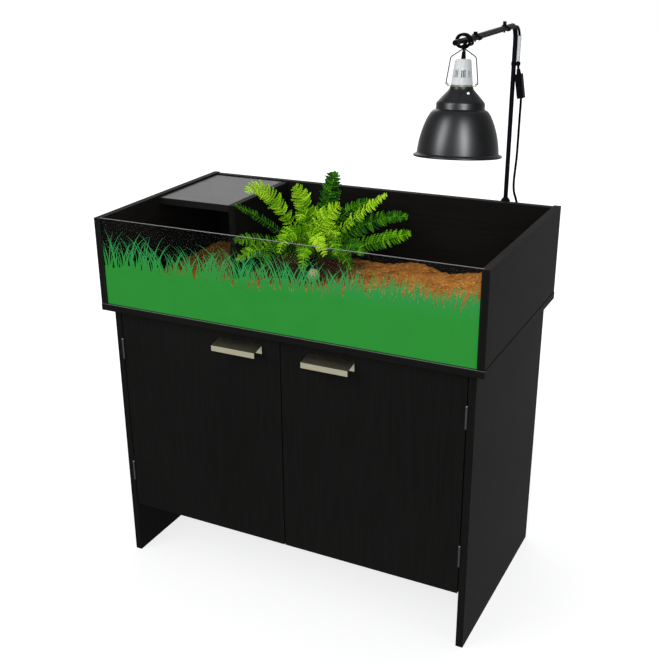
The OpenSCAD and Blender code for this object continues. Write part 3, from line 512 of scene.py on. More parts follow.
@dataclass(frozen=True)
class Cane(Finish):
    """Pale split cane with fibres."""

    def sockets(self, g: Graph) -> Dict[str, Any]:
        """Draws fibres and patches of the cane.

        Args:
            g: The material's graph.

        Returns:
            Inputs of the Principled shader.
        """
        fibre = g.noise(320.0, 3.0, (1.0, 1.0, 0.2))
        patch = g.noise(60.0, 3.0)
        tone = (fibre * 0.6 + patch * 0.4).span(0.3, 0.7)
        return {
            "Base Color": g.blend(tone, self.times(0.6), self.colour),
            "Roughness": fibre * 0.2 + self.rough,
            "Normal": g.bump(fibre, 0.4, 0.0006),
        }


BOARD_COLOUR = (0.0098, 0.0094, 0.009)
BOARD_X, BOARD_Y, BOARD_Z = (
    Melamine("melamine_" + grain.name.lower(), BOARD_COLOUR, 0.5, grain) for grain in Grain
)
# The base board carries the painted highlight line along its front lip.
LIP_HIGHLIGHT_BOARD = Melamine("melamine_with_lip_highlight", BOARD_COLOUR, 0.5, Grain.ALONG_X, BASE_TOP)
ROOF_BOARD = Melamine("melamine_of_roof", BOARD_COLOUR, 0.42, Grain.ALONG_X, specular=0.08)
POLE_PAINT = Coated("pole_paint", (0.003, 0.0036, 0.0062), 0.42, 420.0, 0.1, 0.03)
SHADE_ENAMEL = Coated("shade_enamel", (0.0014, 0.0015, 0.0022), 0.38, 180.0, 0.03, 0.07)
BLACK_PLASTIC = Moulded("black_moulding", (0.0045, 0.0045, 0.0055), 0.5, specular=0.02)
CHANNEL_PLASTIC = Moulded("channel_plastic", (0.006, 0.0075, 0.007), 0.42, specular=0.05)
WHITE_PLASTIC = Moulded("white_moulding", (0.8, 0.83, 0.83), 0.3, 500.0, 0.05, 0.3)
PORCELAIN = Moulded("porcelain", (0.72, 0.7, 0.62), 0.35, 300.0, 0.08, 0.5)
BULB_GLASS = Moulded("frosted_bulb", (0.8, 0.8, 0.78), 0.25, 200.0, 0.03, 0.5)
SHEATH = Moulded("cord_sheath", (0.0045, 0.0045, 0.0055), 0.45, 700.0, 0.2, 0.012)
NICKEL = Brushed("satin_nickel", (0.36, 0.34, 0.25), 0.34)
ZINC = Brushed("bright_zinc", (0.62, 0.62, 0.6), 0.3, (1.0, 1.0, 0.05))
DULL_BAND = Brushed("dull_band", (0.22, 0.21, 0.17), 0.42, (1.0, 1.0, 0.05))
BAIL_STEEL = Coated("bail_steel", (0.09, 0.09, 0.1), 0.5, 900.0, 0.05, 0.1)
# Painted shade: the ceramic lamp holder is drawn nearly black, standing in for the shaded inside of the cover seen
# through its vents.
HOLDER_PAINTED_SHADE = Moulded("holder_painted_shade", (0.07, 0.072, 0.078), 0.4, 300.0, 0.08, 0.4)
DARK_STEEL = Coated("black_hinge", (0.01, 0.01, 0.011), 0.4)
BEECH = Cane("raw_beech", (0.55, 0.36, 0.18), 0.6)
HARDBOARD = Coated("black_hardboard", (0.012, 0.011, 0.011), 0.7, 700.0, 0.2, 0.08)
FLOAT_GLASS = Glass("float_glass", (0.1, 0.098, 0.084), 0.02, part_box("front_glass")[1][2])
GRASS_INK = Film("grass_ink", (0.03, 0.31, 0.04), 0.4, (0.037, 0.33, 0.088))
# The painted shadow is centred by the fern's crown.
BARK = Bark("bark_bedding", painted_shadow_centre=(-0.13, 0.14, 0.69))
FERN_LEAF = Leaf("fern_leaf", rough=0.5)
PALE_CANE = Cane("split_cane", (0.82, 0.76, 0.42), 0.55)

NODE_FINISHES: Dict[Finish, Tuple[str, ...]] = {
    LIP_HIGHLIGHT_BOARD: ("tray_base",),
    BOARD_X: ("tray_back", "cabinet_floor", "cabinet_front_rail", "cabinet_rear_rail"),
    BOARD_Y: ("tray_left_side", "tray_right_side", "hide_divider"),
    BOARD_Z: ("cabinet_left_side", "cabinet_right_side", "left_door", "right_door"),
    ROOF_BOARD: ("hide_roof",),
    HARDBOARD: ("cabinet_back",),
    BEECH: ("wood_dowels",),
    FLOAT_GLASS: ("front_glass",),
    CHANNEL_PLASTIC: ("glass_left_channel", "glass_right_channel"),
    NICKEL: ("roof_pegs", "left_handle", "right_handle"),
    ZINC: (
        "chipboard_screws", "left_handle_screws", "right_handle_screws", "hinge_pins", "left_strike",
        "right_strike", "bracket_screws", "shade_screw",
    ),
    DARK_STEEL: ("left_hinge_leaves", "right_hinge_leaves", "side_hinge_leaves"),
    POLE_PAINT: ("pole_bracket", "arm_hook"),
    DULL_BAND: ("bail_ring",),
    BLACK_PLASTIC: (
        "door_magnets", "pole_collar", "arm_end_cap", "cord_clips", "cord_grip", "switch_body",
        "switch_rocker", "lamp_plug",
    ),
    WHITE_PLASTIC: ("lamp_cover", "cord_sleeve"),
    HOLDER_PAINTED_SHADE: ("lamp_holder",),
    PORCELAIN: ("holder_nut",),
    BULB_GLASS: ("lamp_bulb",),
}


# ------------------------------------------------------------------ mesh tools
def quiet() -> None:
    """Leaves edit mode and deselects everything."""
    if bpy.context.object and bpy.context.object.mode != "OBJECT":
        bpy.ops.object.mode_set(mode="OBJECT")
    bpy.ops.object.select_all(action="DESELECT")


def pick(*pieces: Piece) -> None:
    """Selects only these pieces and makes the first one active."""
    quiet()
    for piece in pieces:
        piece.select_set(True)
    bpy.context.view_layer.objects.active = pieces[0]


def linked(name: str, data: Any) -> Piece:
    """Adds an object of that name that shows the data, and returns it."""
    piece = bpy.data.objects.new(name, data)
    bpy.context.collection.objects.link(piece)
    return piece


def settle(piece: Piece) -> Piece:
    """Applies a piece's place, turn and size, so that it sits at the origin."""
    pick(piece)
    bpy.ops.object.transform_apply(location=True, rotation=True, scale=True)
    quiet()
    return piece


def joined(name: str, pieces: Sequence[Piece]) -> Piece:
    """Joins pieces into the first one.

    Args:
        name: The new piece's name.
        pieces: The pieces.

    Returns:
        The new piece.
    """
    pick(*pieces)
    bpy.ops.object.join()
    piece = bpy.context.view_layer.objects.active
    piece.name = piece.data.name = name
    quiet()
    return piece


def tidy_skin(piece: Piece, merge: float = 1e-6, angle: float = 40.0) -> None:
    """Merges doubles, turns faces outwards and smooths.

    Args:
        piece: The piece.
        merge: Largest gap between doubles.
        angle: Sharpest angle in degrees that is still smoothed.
    """
    pick(piece)
    bpy.ops.object.mode_set(mode="EDIT")
    bpy.ops.mesh.select_all(action="SELECT")
    bpy.ops.mesh.remove_doubles(threshold=merge)
    bpy.ops.mesh.normals_make_consistent(inside=False)
    bpy.ops.object.mode_set(mode="OBJECT")
    bpy.ops.object.shade_smooth_by_angle(angle=math.radians(angle))
    quiet()


def dress(piece: Piece, finish: Finish) -> None:
    """Gives a piece one finish on its first slot."""
    piece.data.materials.clear()
    piece.data.materials.append(finish.material())


def mark(piece: Piece, name: str, values: List[float]) -> None:
    """Keeps numbers on the vertices of a mesh, for its finish.

    Args:
        piece: The piece.
        name: Name of the numbers.
        values: One number for each vertex, or one for them all.
    """
    count = len(piece.data.vertices)
    layer = piece.data.attributes.new(name, "FLOAT", "POINT")
    layer.data.foreach_set("value", values if len(values) == count else values * count)


def grid(columns: int, rows: int, upright: bool = False) -> Piece:
    """Adds a flat grid of 1 by 1 m about the origin.

    Args:
        columns: Its faces along X.
        rows: Its faces the other way.
        upright: Whether it stands up and faces the front, and doesn't lie down.

    Returns:
        The grid.
    """
    quiet()
    turn = (math.pi / 2 if upright else 0, 0, 0)
    bpy.ops.mesh.primitive_grid_add(x_subdivisions=columns, y_subdivisions=rows, size=1.0, rotation=turn)
    return settle(bpy.context.object)


def share(x: float, start: float, width: float) -> float:
    """How far x has come from a start over a width, from 0 to 1."""
    return min(1.0, max(0.0, (x - start) / width))


def near(base: Point, spots: Iterable[Point]) -> List[Point]:
    """Points that are given in millimetres off a base."""
    return [tuple(b + s / 1000 for b, s in zip(base, spot)) for spot in spots]


def pole_bend(x: float, radius: float, part: float) -> Point:
    """Point round the bend from pole to arm.

    Args:
        x: Its place from left to right.
        radius: Its distance from the middle of the bend.
        part: 0 at the pole, 1 at the arm.

    Returns:
        The point.
    """
    angle = math.pi / 2 * part
    return (x, POLE_Y - POLE_BEND + radius * math.cos(angle), ARM_Z - POLE_BEND + radius * math.sin(angle))


def smooth_line(route: Sequence[Point], steps: int) -> List[Vector]:
    """A smooth line through route points.

    Args:
        route: The points that it passes.
        steps: How many points each stretch gets.

    Returns:
        The line's points, both ends included.
    """
    points = [Vector(p) for p in route]
    line = []
    for i in range(len(points) - 1):
        a, b, c, d = points[max(i - 1, 0)], points[i], points[i + 1], points[min(i + 2, len(points) - 1)]
        for k in range(steps):
            t = k / steps
            bow, turn = 2 * a - 5 * b + 4 * c - d, 3 * b - a - 3 * c + d
            line.append(0.5 * (2 * b + (c - a) * t + bow * t * t + turn * t**3))
    return line + [points[-1]]


def rod(name: str, line: Sequence[Vector], radius: float, finish: Finish, sides: int = 4) -> Piece:
    """A round rod or cord along a line, made as a curve and turned into a closed mesh.

    Args:
        name: The piece's name.
        line: Points of its centre line.
        radius: Its radius.
        finish: Its surface.
        sides: Bevel resolution of the curve.

    Returns:
        The piece.
    """
    curve = bpy.data.curves.new(name, "CURVE")
    curve.dimensions = "3D"
    curve.bevel_depth = radius
    curve.bevel_resolution = sides
    curve.use_fill_caps = True
    spline = curve.splines.new("POLY")
    spline.points.add(len(line) - 1)
    for point, place in zip(spline.points, line):
        point.co = (*place, 1.0)
    pick(linked(name, curve))
    bpy.ops.object.convert(target="MESH")
    piece = bpy.context.object
    tidy_skin(piece)
    dress(piece, finish)
    return piece


def turned(name: str, outline: Sequence[Pair], steps: int, finish: Finish, angle: float) -> Piece:
    """Spins a closed outline of radius and height about Z.

    Args:
        name: The piece's name.
        outline: Points as radius and height.
        steps: Steps of the full turn.
        finish: Its surface.
        angle: Sharpest angle in degrees that is still smoothed.

    Returns:
        The piece, about the Z axis.
    """
    quiet()
    bpy.ops.mesh.primitive_circle_add(vertices=len(outline), radius=1.0, location=(0, 0, 0))
    piece = bpy.context.object
    piece.name = piece.data.name = name
    for vertex, (radius, height) in zip(piece.data.vertices, outline):
        vertex.co = (radius, 0.0, height)
    bpy.ops.object.mode_set(mode="EDIT")
    bpy.ops.mesh.select_all(action="SELECT")
    bpy.ops.mesh.spin(steps=steps, angle=2 * math.pi, center=(0, 0, 0), axis=(0, 0, 1))
    bpy.ops.object.mode_set(mode="OBJECT")
    tidy_skin(piece, angle=angle)
    dress(piece, finish)
    return piece


def bail_frame() -> Matrix:
    """Place of the bail as it hangs from the hook, with its pivots at zero."""
    turn = Matrix.Rotation(LAMP_YAW, 4, "Z") @ Matrix.Rotation(LAMP_SWING, 4, "Y")
    return Matrix.Translation((POLE_X, HANG_Y, HANG_Z)) @ turn @ Matrix.Translation((0.0, 0.0, -BAIL_RISE))


def head_frame() -> Matrix:
    """Place of the leaning lamp head."""
    return bail_frame() @ Matrix.Rotation(-LAMP_LEAN, 4, "X")


def put_in(piece: Piece, place: Matrix) -> None:
    """Moves a piece's mesh into a frame."""
    piece.matrix_world = place @ piece.matrix_world
    settle(piece)


# ------------------------------------------------------------------------ cords
@dataclass
class LampLead:
    """The lamp's mains lead, in the stretches that the CAD model has."""

    diameter: float = CORD_D
    coil_turns: float = 4.25
    coil_steps: int = 204
    coil_radius: float = 0.030
    coil_pitch: float = 0.0061
    coil_centre: Pair = (0.300, TRAY_REAR + 0.052)
    switch: Point = (POLE_X + 0.0167, POLE_Y, ARM_Z - 0.1295)
    switch_lean: float = math.radians(9.3)

    def switch_point(self, z: float) -> Point:
        """Point on the switch's axis, z above its middle."""
        x, y, height = self.switch
        return (x - z * math.sin(self.switch_lean), y, height + z * math.cos(self.switch_lean))

    def head_point(self, z: float) -> Point:
        """Point on the lamp head's axis, z above the bail's pivots."""
        return tuple(head_frame() @ Vector((0.0, 0.0, z)))

    def upper_routes(self) -> Tuple[List[Point], List[Point], List[Point]]:
        """Lays the stretches above the switch.

        Returns:
            Route points on the pole, round the arm's end and into the head.
        """
        on_pole = ((9.7, 0, -84), (9.3, 0, -77), (9.15, 0, -66), (9.15, 0, -54), (9.15, 0, -42))
        arm = [self.switch_point(z) for z in (0.016, 0.026, 0.036)] + near((POLE_X, POLE_Y, ARM_Z), on_pole)
        for part in (step / 5 for step in range(6)):
            arm.append(pole_bend(POLE_X + 0.00915 - 0.0003 * part, POLE_BEND - 0.0016 * part, part))
        start, stop = POLE_Y - POLE_BEND, HANG_Y + 0.054
        arm += [(POLE_X + 0.00885, start + (stop - start) * k / 14, ARM_Z - 0.0016) for k in range(1, 15)]
        loop = [
            (8.85, 39, -1.6), (8.8, 25, -1.4), (8.6, 12, -1), (8.5, 0, -0.6), (8.3, -9, -1), (5.8, -15.5, -7),
            (-1, -17.5, -10.6), (-7.8, -17.3, -7.4), (-10.2, -16.5, 0), (-7.4, -15.6, 8), (0.6, -14.8, 11.4),
            (9.4, -14, 9.2), (14.6, -13.2, 0.8), (12.6, -12, -8.2), (3.6, -10.8, -12.9), (-6.6, -10.8, -9),
            (-10.3, -10.2, 0), (-7.4, -9.2, 8.2), (0.8, -8.2, 11.48), (9.6, -6.6, 9.4), (14.9, -3.8, 1.5),
            (15.2, 3, -3.5), (13.4, 9, -6.8),
        ]
        neck = [(9.8, 12, -8.8), (5.4, 12.2, -9.8), (1, 10.8, -12.2), (-1.8, 8.8, -16.6)]
        arm_end = (POLE_X, HANG_Y, ARM_Z)
        into_head = [self.head_point(0.0605), self.head_point(0.054)]
        return arm, near(arm_end, loop), near(arm_end, neck) + into_head

    def layer(self, turns: float) -> float:
        """Height of the coil in layers, so many turns above the floor."""
        part = turns - math.floor(turns)
        return math.floor(turns) + (1 - math.cos(math.pi * max(0.0, 2 * part - 1))) / 2

    def lower_line(self) -> List[Vector]:
        """Lays the stretch below the switch.

        Returns:
            Its centre line down behind the tray, through the coil, to the plug.
        """
        past_tray = [
            (20.9, 0, -171), (20.6, 0, -195), (20.4, 0, -225), (20.2, 0, -258), (19.6, 0, -290), (17.8, 0, -320),
            (16.8, 0, -345), (18.6, 0, -366), (24, 1, -383), (28.6, 1, -401), (30.8, 0, -425), (31.4, -3, -455),
            (31.8, -5, -495), (32.4, -6, -545),
        ]
        to_floor = [(32, -6, 200), (31, -3, 145), (28, 3, 100), (22, 12, 64), (13.5, 22, 41), (7, 31, 30)]
        drop = [self.switch_point(-0.017), self.switch_point(-0.026)]
        drop += near((POLE_X, POLE_Y, ARM_Z), past_tray)
        drop += [(POLE_X + 0.0325, POLE_Y - 0.0065, z / 1000) for z in range(655, 259, -65)]
        drop += near((POLE_X, POLE_Y, 0.0), to_floor)
        low = self.diameter * 0.4
        x, y = self.coil_centre
        coil = []
        for i in range(self.coil_steps + 1):
            t = self.coil_turns * i / self.coil_steps
            across, back = self.coil_radius * math.cos(2 * math.pi * t), self.coil_radius * math.sin(2 * math.pi * t)
            coil.append(Vector((x + across, y + back, low + self.coil_pitch * self.layer(self.coil_turns - t))))
        tail = [(-9, 0, 0.0), (-18, 0, 1.0), (-29, 0, 3.2), (-40, 0, 5.1), (-50, 0, 5.8), (-62, 0, 5.8)]
        end = [Vector(p) for p in near((x, y + self.coil_radius, low), tail)]
        return smooth_line(drop + [tuple(coil[0])], 3) + coil[1:] + end

    def build(self) -> None:
        arm, loop, neck = self.upper_routes()
        steps = 4
        line = smooth_line(arm + loop + neck, steps)
        first, second = steps * (len(arm) - 1), steps * (len(arm) + len(loop) - 1)
        clipped = rod("lead_on_pole", line[: first + 1], self.diameter / 2, SHEATH)
        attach(clipped, "stand")
        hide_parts("cord_arm")
        wrap = rod("lead_round_arm_end", line[first : second + 1], self.diameter / 2, SHEATH)
        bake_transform(wrap)
        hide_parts("cord_loop")
        neck_piece = rod("lead_into_grip", line[second:], self.diameter / 2, SHEATH)
        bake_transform(neck_piece)
        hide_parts("cord_neck")
        lower = self.lower_line()
        mains = rod("mains_lead", lower, self.diameter / 2, SHEATH)
        for vertex in mains.data.vertices:
            vertex.co.z = max(0.0, vertex.co.z)
        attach(mains, "stand")
        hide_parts("cord_drop", "cord_coil")
        length = sum((b - a).length for a, b in zip(lower, lower[1:]))
        tuple(lower[0])
        [tuple(p) for p in lower]
        LOG.info("lead: %.2f m below the switch", length)


# ------------------------------------------------------------------- the studio
@dataclass
class Studio:
    """Camera, floor, lamps and background."""

    place: Point = (0.9792, -1.9914, 1.4606)
    yaw: float = 0.50545
    pitch: float = 0.39134
    roll: float = -0.02438
    lens: float = 54.92
    shift: Pair = (0.0735, 0.0232)
    aim: Point = (0.0, 0.0, 0.8)
    cool: Colour = (0.95, 0.98, 1.0)
    floor_glow: float = 1.25
    sky_strength: float = 0.3

    def camera(self) -> None:
        """Sets the camera that sees the part as the photograph does."""
        level = math.cos(self.pitch)
        ahead = Vector((-math.sin(self.yaw) * level, math.cos(self.yaw) * level, -math.sin(self.pitch)))
        right = Vector((math.cos(self.yaw), math.sin(self.yaw), 0.0))
        above = right.cross(ahead)
        side = math.cos(self.roll) * right + math.sin(self.roll) * above
        top = -math.sin(self.roll) * right + math.cos(self.roll) * above
        data = bpy.data.cameras.new("view")
        data.lens = self.lens
        data.sensor_width = 36.0
        data.shift_x, data.shift_y = self.shift
        data.clip_end = 60.0
        camera = linked("view", data)
        camera.matrix_world = Matrix.Translation(self.place) @ Matrix((side, top, -ahead)).transposed().to_4x4()
        bpy.context.scene.camera = camera

    def lamp(self, name: str, place: Point, size: Pair, power: float, tint: Colour = (1.0, 1.0, 1.0)) -> Piece:
        """Adds a softbox that looks at the part's middle.

        Args:
            name: Its name.
            place: Its place.
            size: Its width and height.
            power: Its power in watts.
            tint: The colour of its light.

        Returns:
            The lamp.
        """
        data = bpy.data.lights.new(name, "AREA")
        data.shape = "RECTANGLE"
        data.size, data.size_y = size
        data.energy = power
        data.color = tint
        light = linked(name, data)
        light.location = place
        light.rotation_euler = (Vector(self.aim) - Vector(place)).to_track_quat("-Z", "Y").to_euler()
        light.visible_camera = False
        return light

    def sheen(self, name: str, place: Point, power: float) -> None:
        """Adds a tall softbox that only shows as a reflection in the lamp's shade.

        Args:
            name: Its name.
            place: Its place.
            power: Its power in watts.
        """
        light = self.lamp(name, place, (0.8, 2.2), power, self.cool)
        lit = bpy.data.collections.new(name + "_lights")
        lit.objects.link(bpy.data.objects["spun_shade"])
        light.light_linking.receiver_collection = lit
        light.visible_diffuse = False

    def floor(self) -> None:
        """Adds the pale floor, white to the camera but for a faint shadow near the part."""
        quiet()
        bpy.ops.mesh.primitive_plane_add(size=24.0, location=(0.0, 0.0, 0.0))
        floor = bpy.context.object
        floor.name = floor.data.name = "floor"
        g = Graph(bpy.data.materials.new("pale_floor"))
        dull = g.node("ShaderNodeBsdfDiffuse", {}, {"Color": (0.3, 0.3, 0.3)})
        pale = g.node("ShaderNodeBsdfDiffuse", {}, {"Color": (0.9, 0.9, 0.9)})
        glow = g.node("ShaderNodeEmission", {}, {"Color": (1.0, 1.0, 1.0), "Strength": self.floor_glow})
        away = g.node("ShaderNodeVectorMath", {"operation": "LENGTH"}, {0: g.coords()}, "Value")
        shown = g.node("ShaderNodeMixShader", {}, {0: away.span(0.7, 1.5, 0.62, 1.0), 1: pale, 2: glow})
        floor.data.materials.append(g.close(g.node("ShaderNodeMixShader", {}, {0: g.seen(), 1: dull, 2: shown})))

    def world(self) -> None:
        """Sets a white background and a softer sky that lights the part."""
        g = Graph(bpy.data.worlds.new("studio"), "ShaderNodeOutputWorld")
        white = g.node("ShaderNodeBackground", {}, {"Color": (1.0, 1.0, 1.0), "Strength": 1.0})
        soft = g.node("ShaderNodeBackground", {}, {"Color": (0.96, 0.98, 1.0), "Strength": self.sky_strength})
        bpy.context.scene.world = g.close(g.node("ShaderNodeMixShader", {}, {0: g.seen(), 1: soft, 2: white}))
        bpy.context.scene.view_settings.view_transform = "Standard"

    def build(self) -> None:
        """Makes all but the camera, once the shade is there to be lit."""
        self.floor()
        self.world()
        self.lamp("key", (-1.8, -2.6, 2.8), (2.4, 2.4), 46.0)
        self.lamp("near_softbox", (1.15, -3.0, 1.6), (0.32, 2.2), 40.0, self.cool)
        self.sheen("right_sheen", (2.16, -2.45, 2.6), 1050.0)
        self.sheen("left_sheen", (-1.44, -2.5, 2.6), 700.0)
        self.lamp("right_softbox", (2.7, -1.2, 1.6), (1.0, 2.6), 5.0, (0.93, 0.97, 1.0))
        self.lamp("rear_softbox", (-1.5, 2.8, 2.2), (2.2, 1.4), 26.0)
        self.lamp("top", (0.2, 0.4, 3.6), (2.4, 2.4), 38.0)


# ------------------------------------------------------------------ lamp pieces
@dataclass
class HeatLamp:
    """The pole, the bail and the shade of the heat lamp; the shade's sizes are in millimetres."""

    pole_radius: float = 0.005
    foot_z: float = 0.791
    arm_end: float = HANG_Y - 0.0505
    wire: float = 0.00125
    bell_top: float = 50.0
    bell_radius: float = 79.4
    bell_wall: float = 1.15
    bell_steps: int = 26
    bead: float = 2.2

    def pole(self) -> None:
        """Pole and arm in one bent tube."""
        route = [(POLE_X, POLE_Y, self.foot_z), (POLE_X, POLE_Y, ARM_Z - POLE_BEND)]
        route += [pole_bend(POLE_X, POLE_BEND, step / 24) for step in range(1, 25)]
        route.append((POLE_X, self.arm_end, ARM_Z))
        pole = rod("bent_pole", [Vector(p) for p in route], self.pole_radius, POLE_PAINT, 8)
        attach(pole, "stand")
        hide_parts("lamp_pole")

    def bail(self) -> None:
        """Wire bail that the head hangs in."""
        half = [
            (24.9, 0.0), (28.6, 0.0), (29.8, 0.5), (30.3, 1.8), (24.7, 45.5), (24.2, 49.0), (22.6, 51.8),
            (6.8, 62.6), (4.6, 64.1), (2.6, 64.5),
        ]
        right = [Vector((x / 1000, 0.0, z / 1000)) for x, z in half]
        left = [Vector((-p.x, 0.0, p.z)) for p in reversed(right)]
        bail = rod("wire_bail", right + left, self.wire, BAIL_STEEL, 3)
        put_in(bail, bail_frame())
        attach(bail, "bail")
        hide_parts("lamp_bail")

    def bell(self, step: int) -> Pair:
        """Radius and height of the bell in millimetres, from its top at step 0 to its foot."""
        t = (step / self.bell_steps) ** 1.6
        swell = 0.8 * math.sin(math.pi / 2 * t) ** 0.6 + 0.2 * t
        return (self.bell_top + (self.bell_radius - self.bell_top) * swell, -48.0 - 82.0 * t)

    def shade_outline(self) -> List[Pair]:
        """Closed outline of the spun shade, wall and rolled rim included.

        Returns:
            Radius and height of its points, in metres.
        """
        outer = [
            (15.0, -4.0), (21.0, -4.0), (22.3, -5.0), (23.3, -9.0), (28.6, -14.6), (34.2, -20.5), (39.2, -26.0),
            (44.0, -31.5), (46.2, -34.4), (46.8, -36.5), (46.8, -44.5), (47.1, -45.8), (48.0, -47.0), (49.0, -47.6),
        ]
        outer += [self.bell(k) for k in range(self.bell_steps + 1)]
        outer += [(81.6, -131.9), (82.9, -133.0)]
        for step in range(14):
            angle = math.radians(110 - 21 * step)
            outer.append((self.bell_radius + 4.6 + self.bead * math.cos(angle), -135.0 + self.bead * math.sin(angle)))
        inner = [(r - self.bell_wall, z) for r, z in (self.bell(k) for k in range(self.bell_steps, 0, -2))]
        inner += [
            (48.0, -48.6), (46.0, -46.8), (45.7, -44.5), (45.7, -36.8), (42.8, -31.5), (33.0, -20.5), (22.2, -9.4),
            (21.2, -5.0), (15.0, -5.0),
        ]
        return [(r / 1000, z / 1000) for r, z in outer + inner]

    def shade(self) -> None:
        """Spun metal shade."""
        shade = turned("spun_shade", self.shade_outline(), 128, SHADE_ENAMEL, 32.0)
        put_in(shade, head_frame())
        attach(shade, "head")
        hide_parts("lamp_shade")

    def build(self) -> None:
        """Makes the lamp's pieces."""
        self.pole()
        self.bail()
        self.shade()


# ------------------------------------------------------------------- grass print
@dataclass
class GrassPrint:
    """Film on the glass: solid green below, thin bent blades above."""

    half_width: float = 0.4405
    face: float = TRAY_FRONT + 0.0026
    clearance: float = 0.00003
    foot: float = BASE_TOP + 0.0015
    low_solid: float = 0.093
    high_solid: float = 0.101
    tallest: float = 0.187
    root: float = 0.014
    steps: int = 9
    layers: int = 110
    layer: float = 0.0000023
    seed: int = 11

    def solid(self, x: float) -> float:
        """Height of the unbroken green, which rises to the right in small waves."""
        wave = 0.004 * math.sin(x * 31.0) + 0.003 * math.sin(x * 83.0 + 1.0)
        return self.low_solid + (self.high_solid - self.low_solid) * share(x, -0.05, 0.25) + wave

    def room(self, x: float) -> float:
        """Share of the room above the green that blades fill, least at one place left of the middle."""
        return 1.0 - 0.25 * math.exp(-(((x + 0.235) / 0.05) ** 2)) - 0.1 * share(x, 0.06, 0.16)

    def inside(self, x: float, margin: float = 0.0) -> float:
        """Place along the glass, held inside the film by a margin."""
        return max(margin - self.half_width, min(self.half_width - margin, x))

    def tufts(self, rng: random.Random) -> Iterable[Tuple[float, float, Pair, float]]:
        """Draws the blades of every tuft.

        Args:
            rng: Seeded random numbers.

        Returns:
            Foot, rise, leans at foot and tip, and width of each blade.
        """
        middle = -self.half_width - 0.004
        while middle < self.half_width:
            upright = share(middle, 0.02, 0.16)
            middle += rng.uniform(0.012, 0.023) * (1.0 - 0.35 * upright)
            spread = rng.uniform(0.0045, 0.0075)
            head = self.room(middle) * (self.tallest - self.solid(middle)) * rng.uniform(0.78, 1.0)
            for _ in range(rng.randint(6, 9)):
                off = rng.uniform(-1.0, 1.0)
                foot = self.inside(middle + off * spread, 0.002)
                start = 0.16 * off + rng.uniform(-0.12, 0.12)
                curve = rng.uniform(0.15, 1.25) * (1.0 - 0.55 * upright) * (1.0 if start > 0 else -1.0)
                rise = head * rng.uniform(0.5, 1.0)
                yield foot, rise, (start, start + curve), rng.uniform(0.003, 0.0056) * (1.0 + 0.3 * upright)
            for _ in range(3 + round(2 * upright)):
                foot = self.inside(middle + rng.uniform(-0.012, 0.012), 0.002)
                start = rng.uniform(-0.2, 0.2)
                rise = head * rng.uniform(0.12, 0.3 + 0.2 * upright)
                yield foot, rise, (start, start * rng.uniform(1.0, 3.0)), rng.uniform(0.004, 0.0068)

    def bend(self, blade: Piece, foot: float, rise: float, turns: Pair, width: float) -> None:
        """Bends a strip into one arching blade.

        Args:
            blade: The strip.
            foot: Where it stands along the glass.
            rise: How high its highest point is above the unbroken green.
            turns: Its lean at the foot and at the tip.
            width: Its width at the foot.
        """
        ways = [turns[0] + (turns[1] - turns[0]) * (k / self.steps) ** 1.5 for k in range(self.steps + 1)]
        climb = peak = 0.0
        for way in ways[:-1]:
            climb += math.cos(way)
            peak = max(peak, climb)
        step = (rise + self.root) / peak
        spots = [(foot, self.solid(foot) - self.root)]
        for way in ways[:-1]:
            spots.append((spots[-1][0] + math.sin(way) * step, spots[-1][1] + math.cos(way) * step))
        for vertex in blade.data.vertices:
            k = round((vertex.co.z + 0.5) * self.steps)
            half = width * vertex.co.x * max(0.07, (1.0 - k / self.steps) ** 0.85)
            vertex.co.x = self.inside(spots[k][0] + math.cos(ways[k]) * half)
            vertex.co.z = spots[k][1] - math.sin(ways[k]) * half

    def build(self) -> None:
        """Makes the film and its blades as one piece."""
        rng = random.Random(self.seed)
        first = grid(1, self.steps, True)
        ground = grid(150, 2, True)
        for vertex in ground.data.vertices:
            vertex.co.x *= 2 * self.half_width
            vertex.co.z = (vertex.co.z + 0.5) * self.solid(vertex.co.x)
        pieces = [ground]
        for i, (foot, rise, turns, width) in enumerate(self.tufts(rng)):
            blade = linked("blade", first.data.copy())
            self.bend(blade, foot, rise, turns, width)
            for vertex in blade.data.vertices:
                vertex.co.y = -self.layer * (1 + i % self.layers)
            pieces.append(blade)
        bpy.data.objects.remove(first)
        film = joined("printed_film", pieces)
        for vertex in film.data.vertices:
            vertex.co.y = self.face - self.clearance + vertex.co.y
            vertex.co.z += self.foot
        dress(film, GRASS_INK)
        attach(film, "glass")
        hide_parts("grass_print")


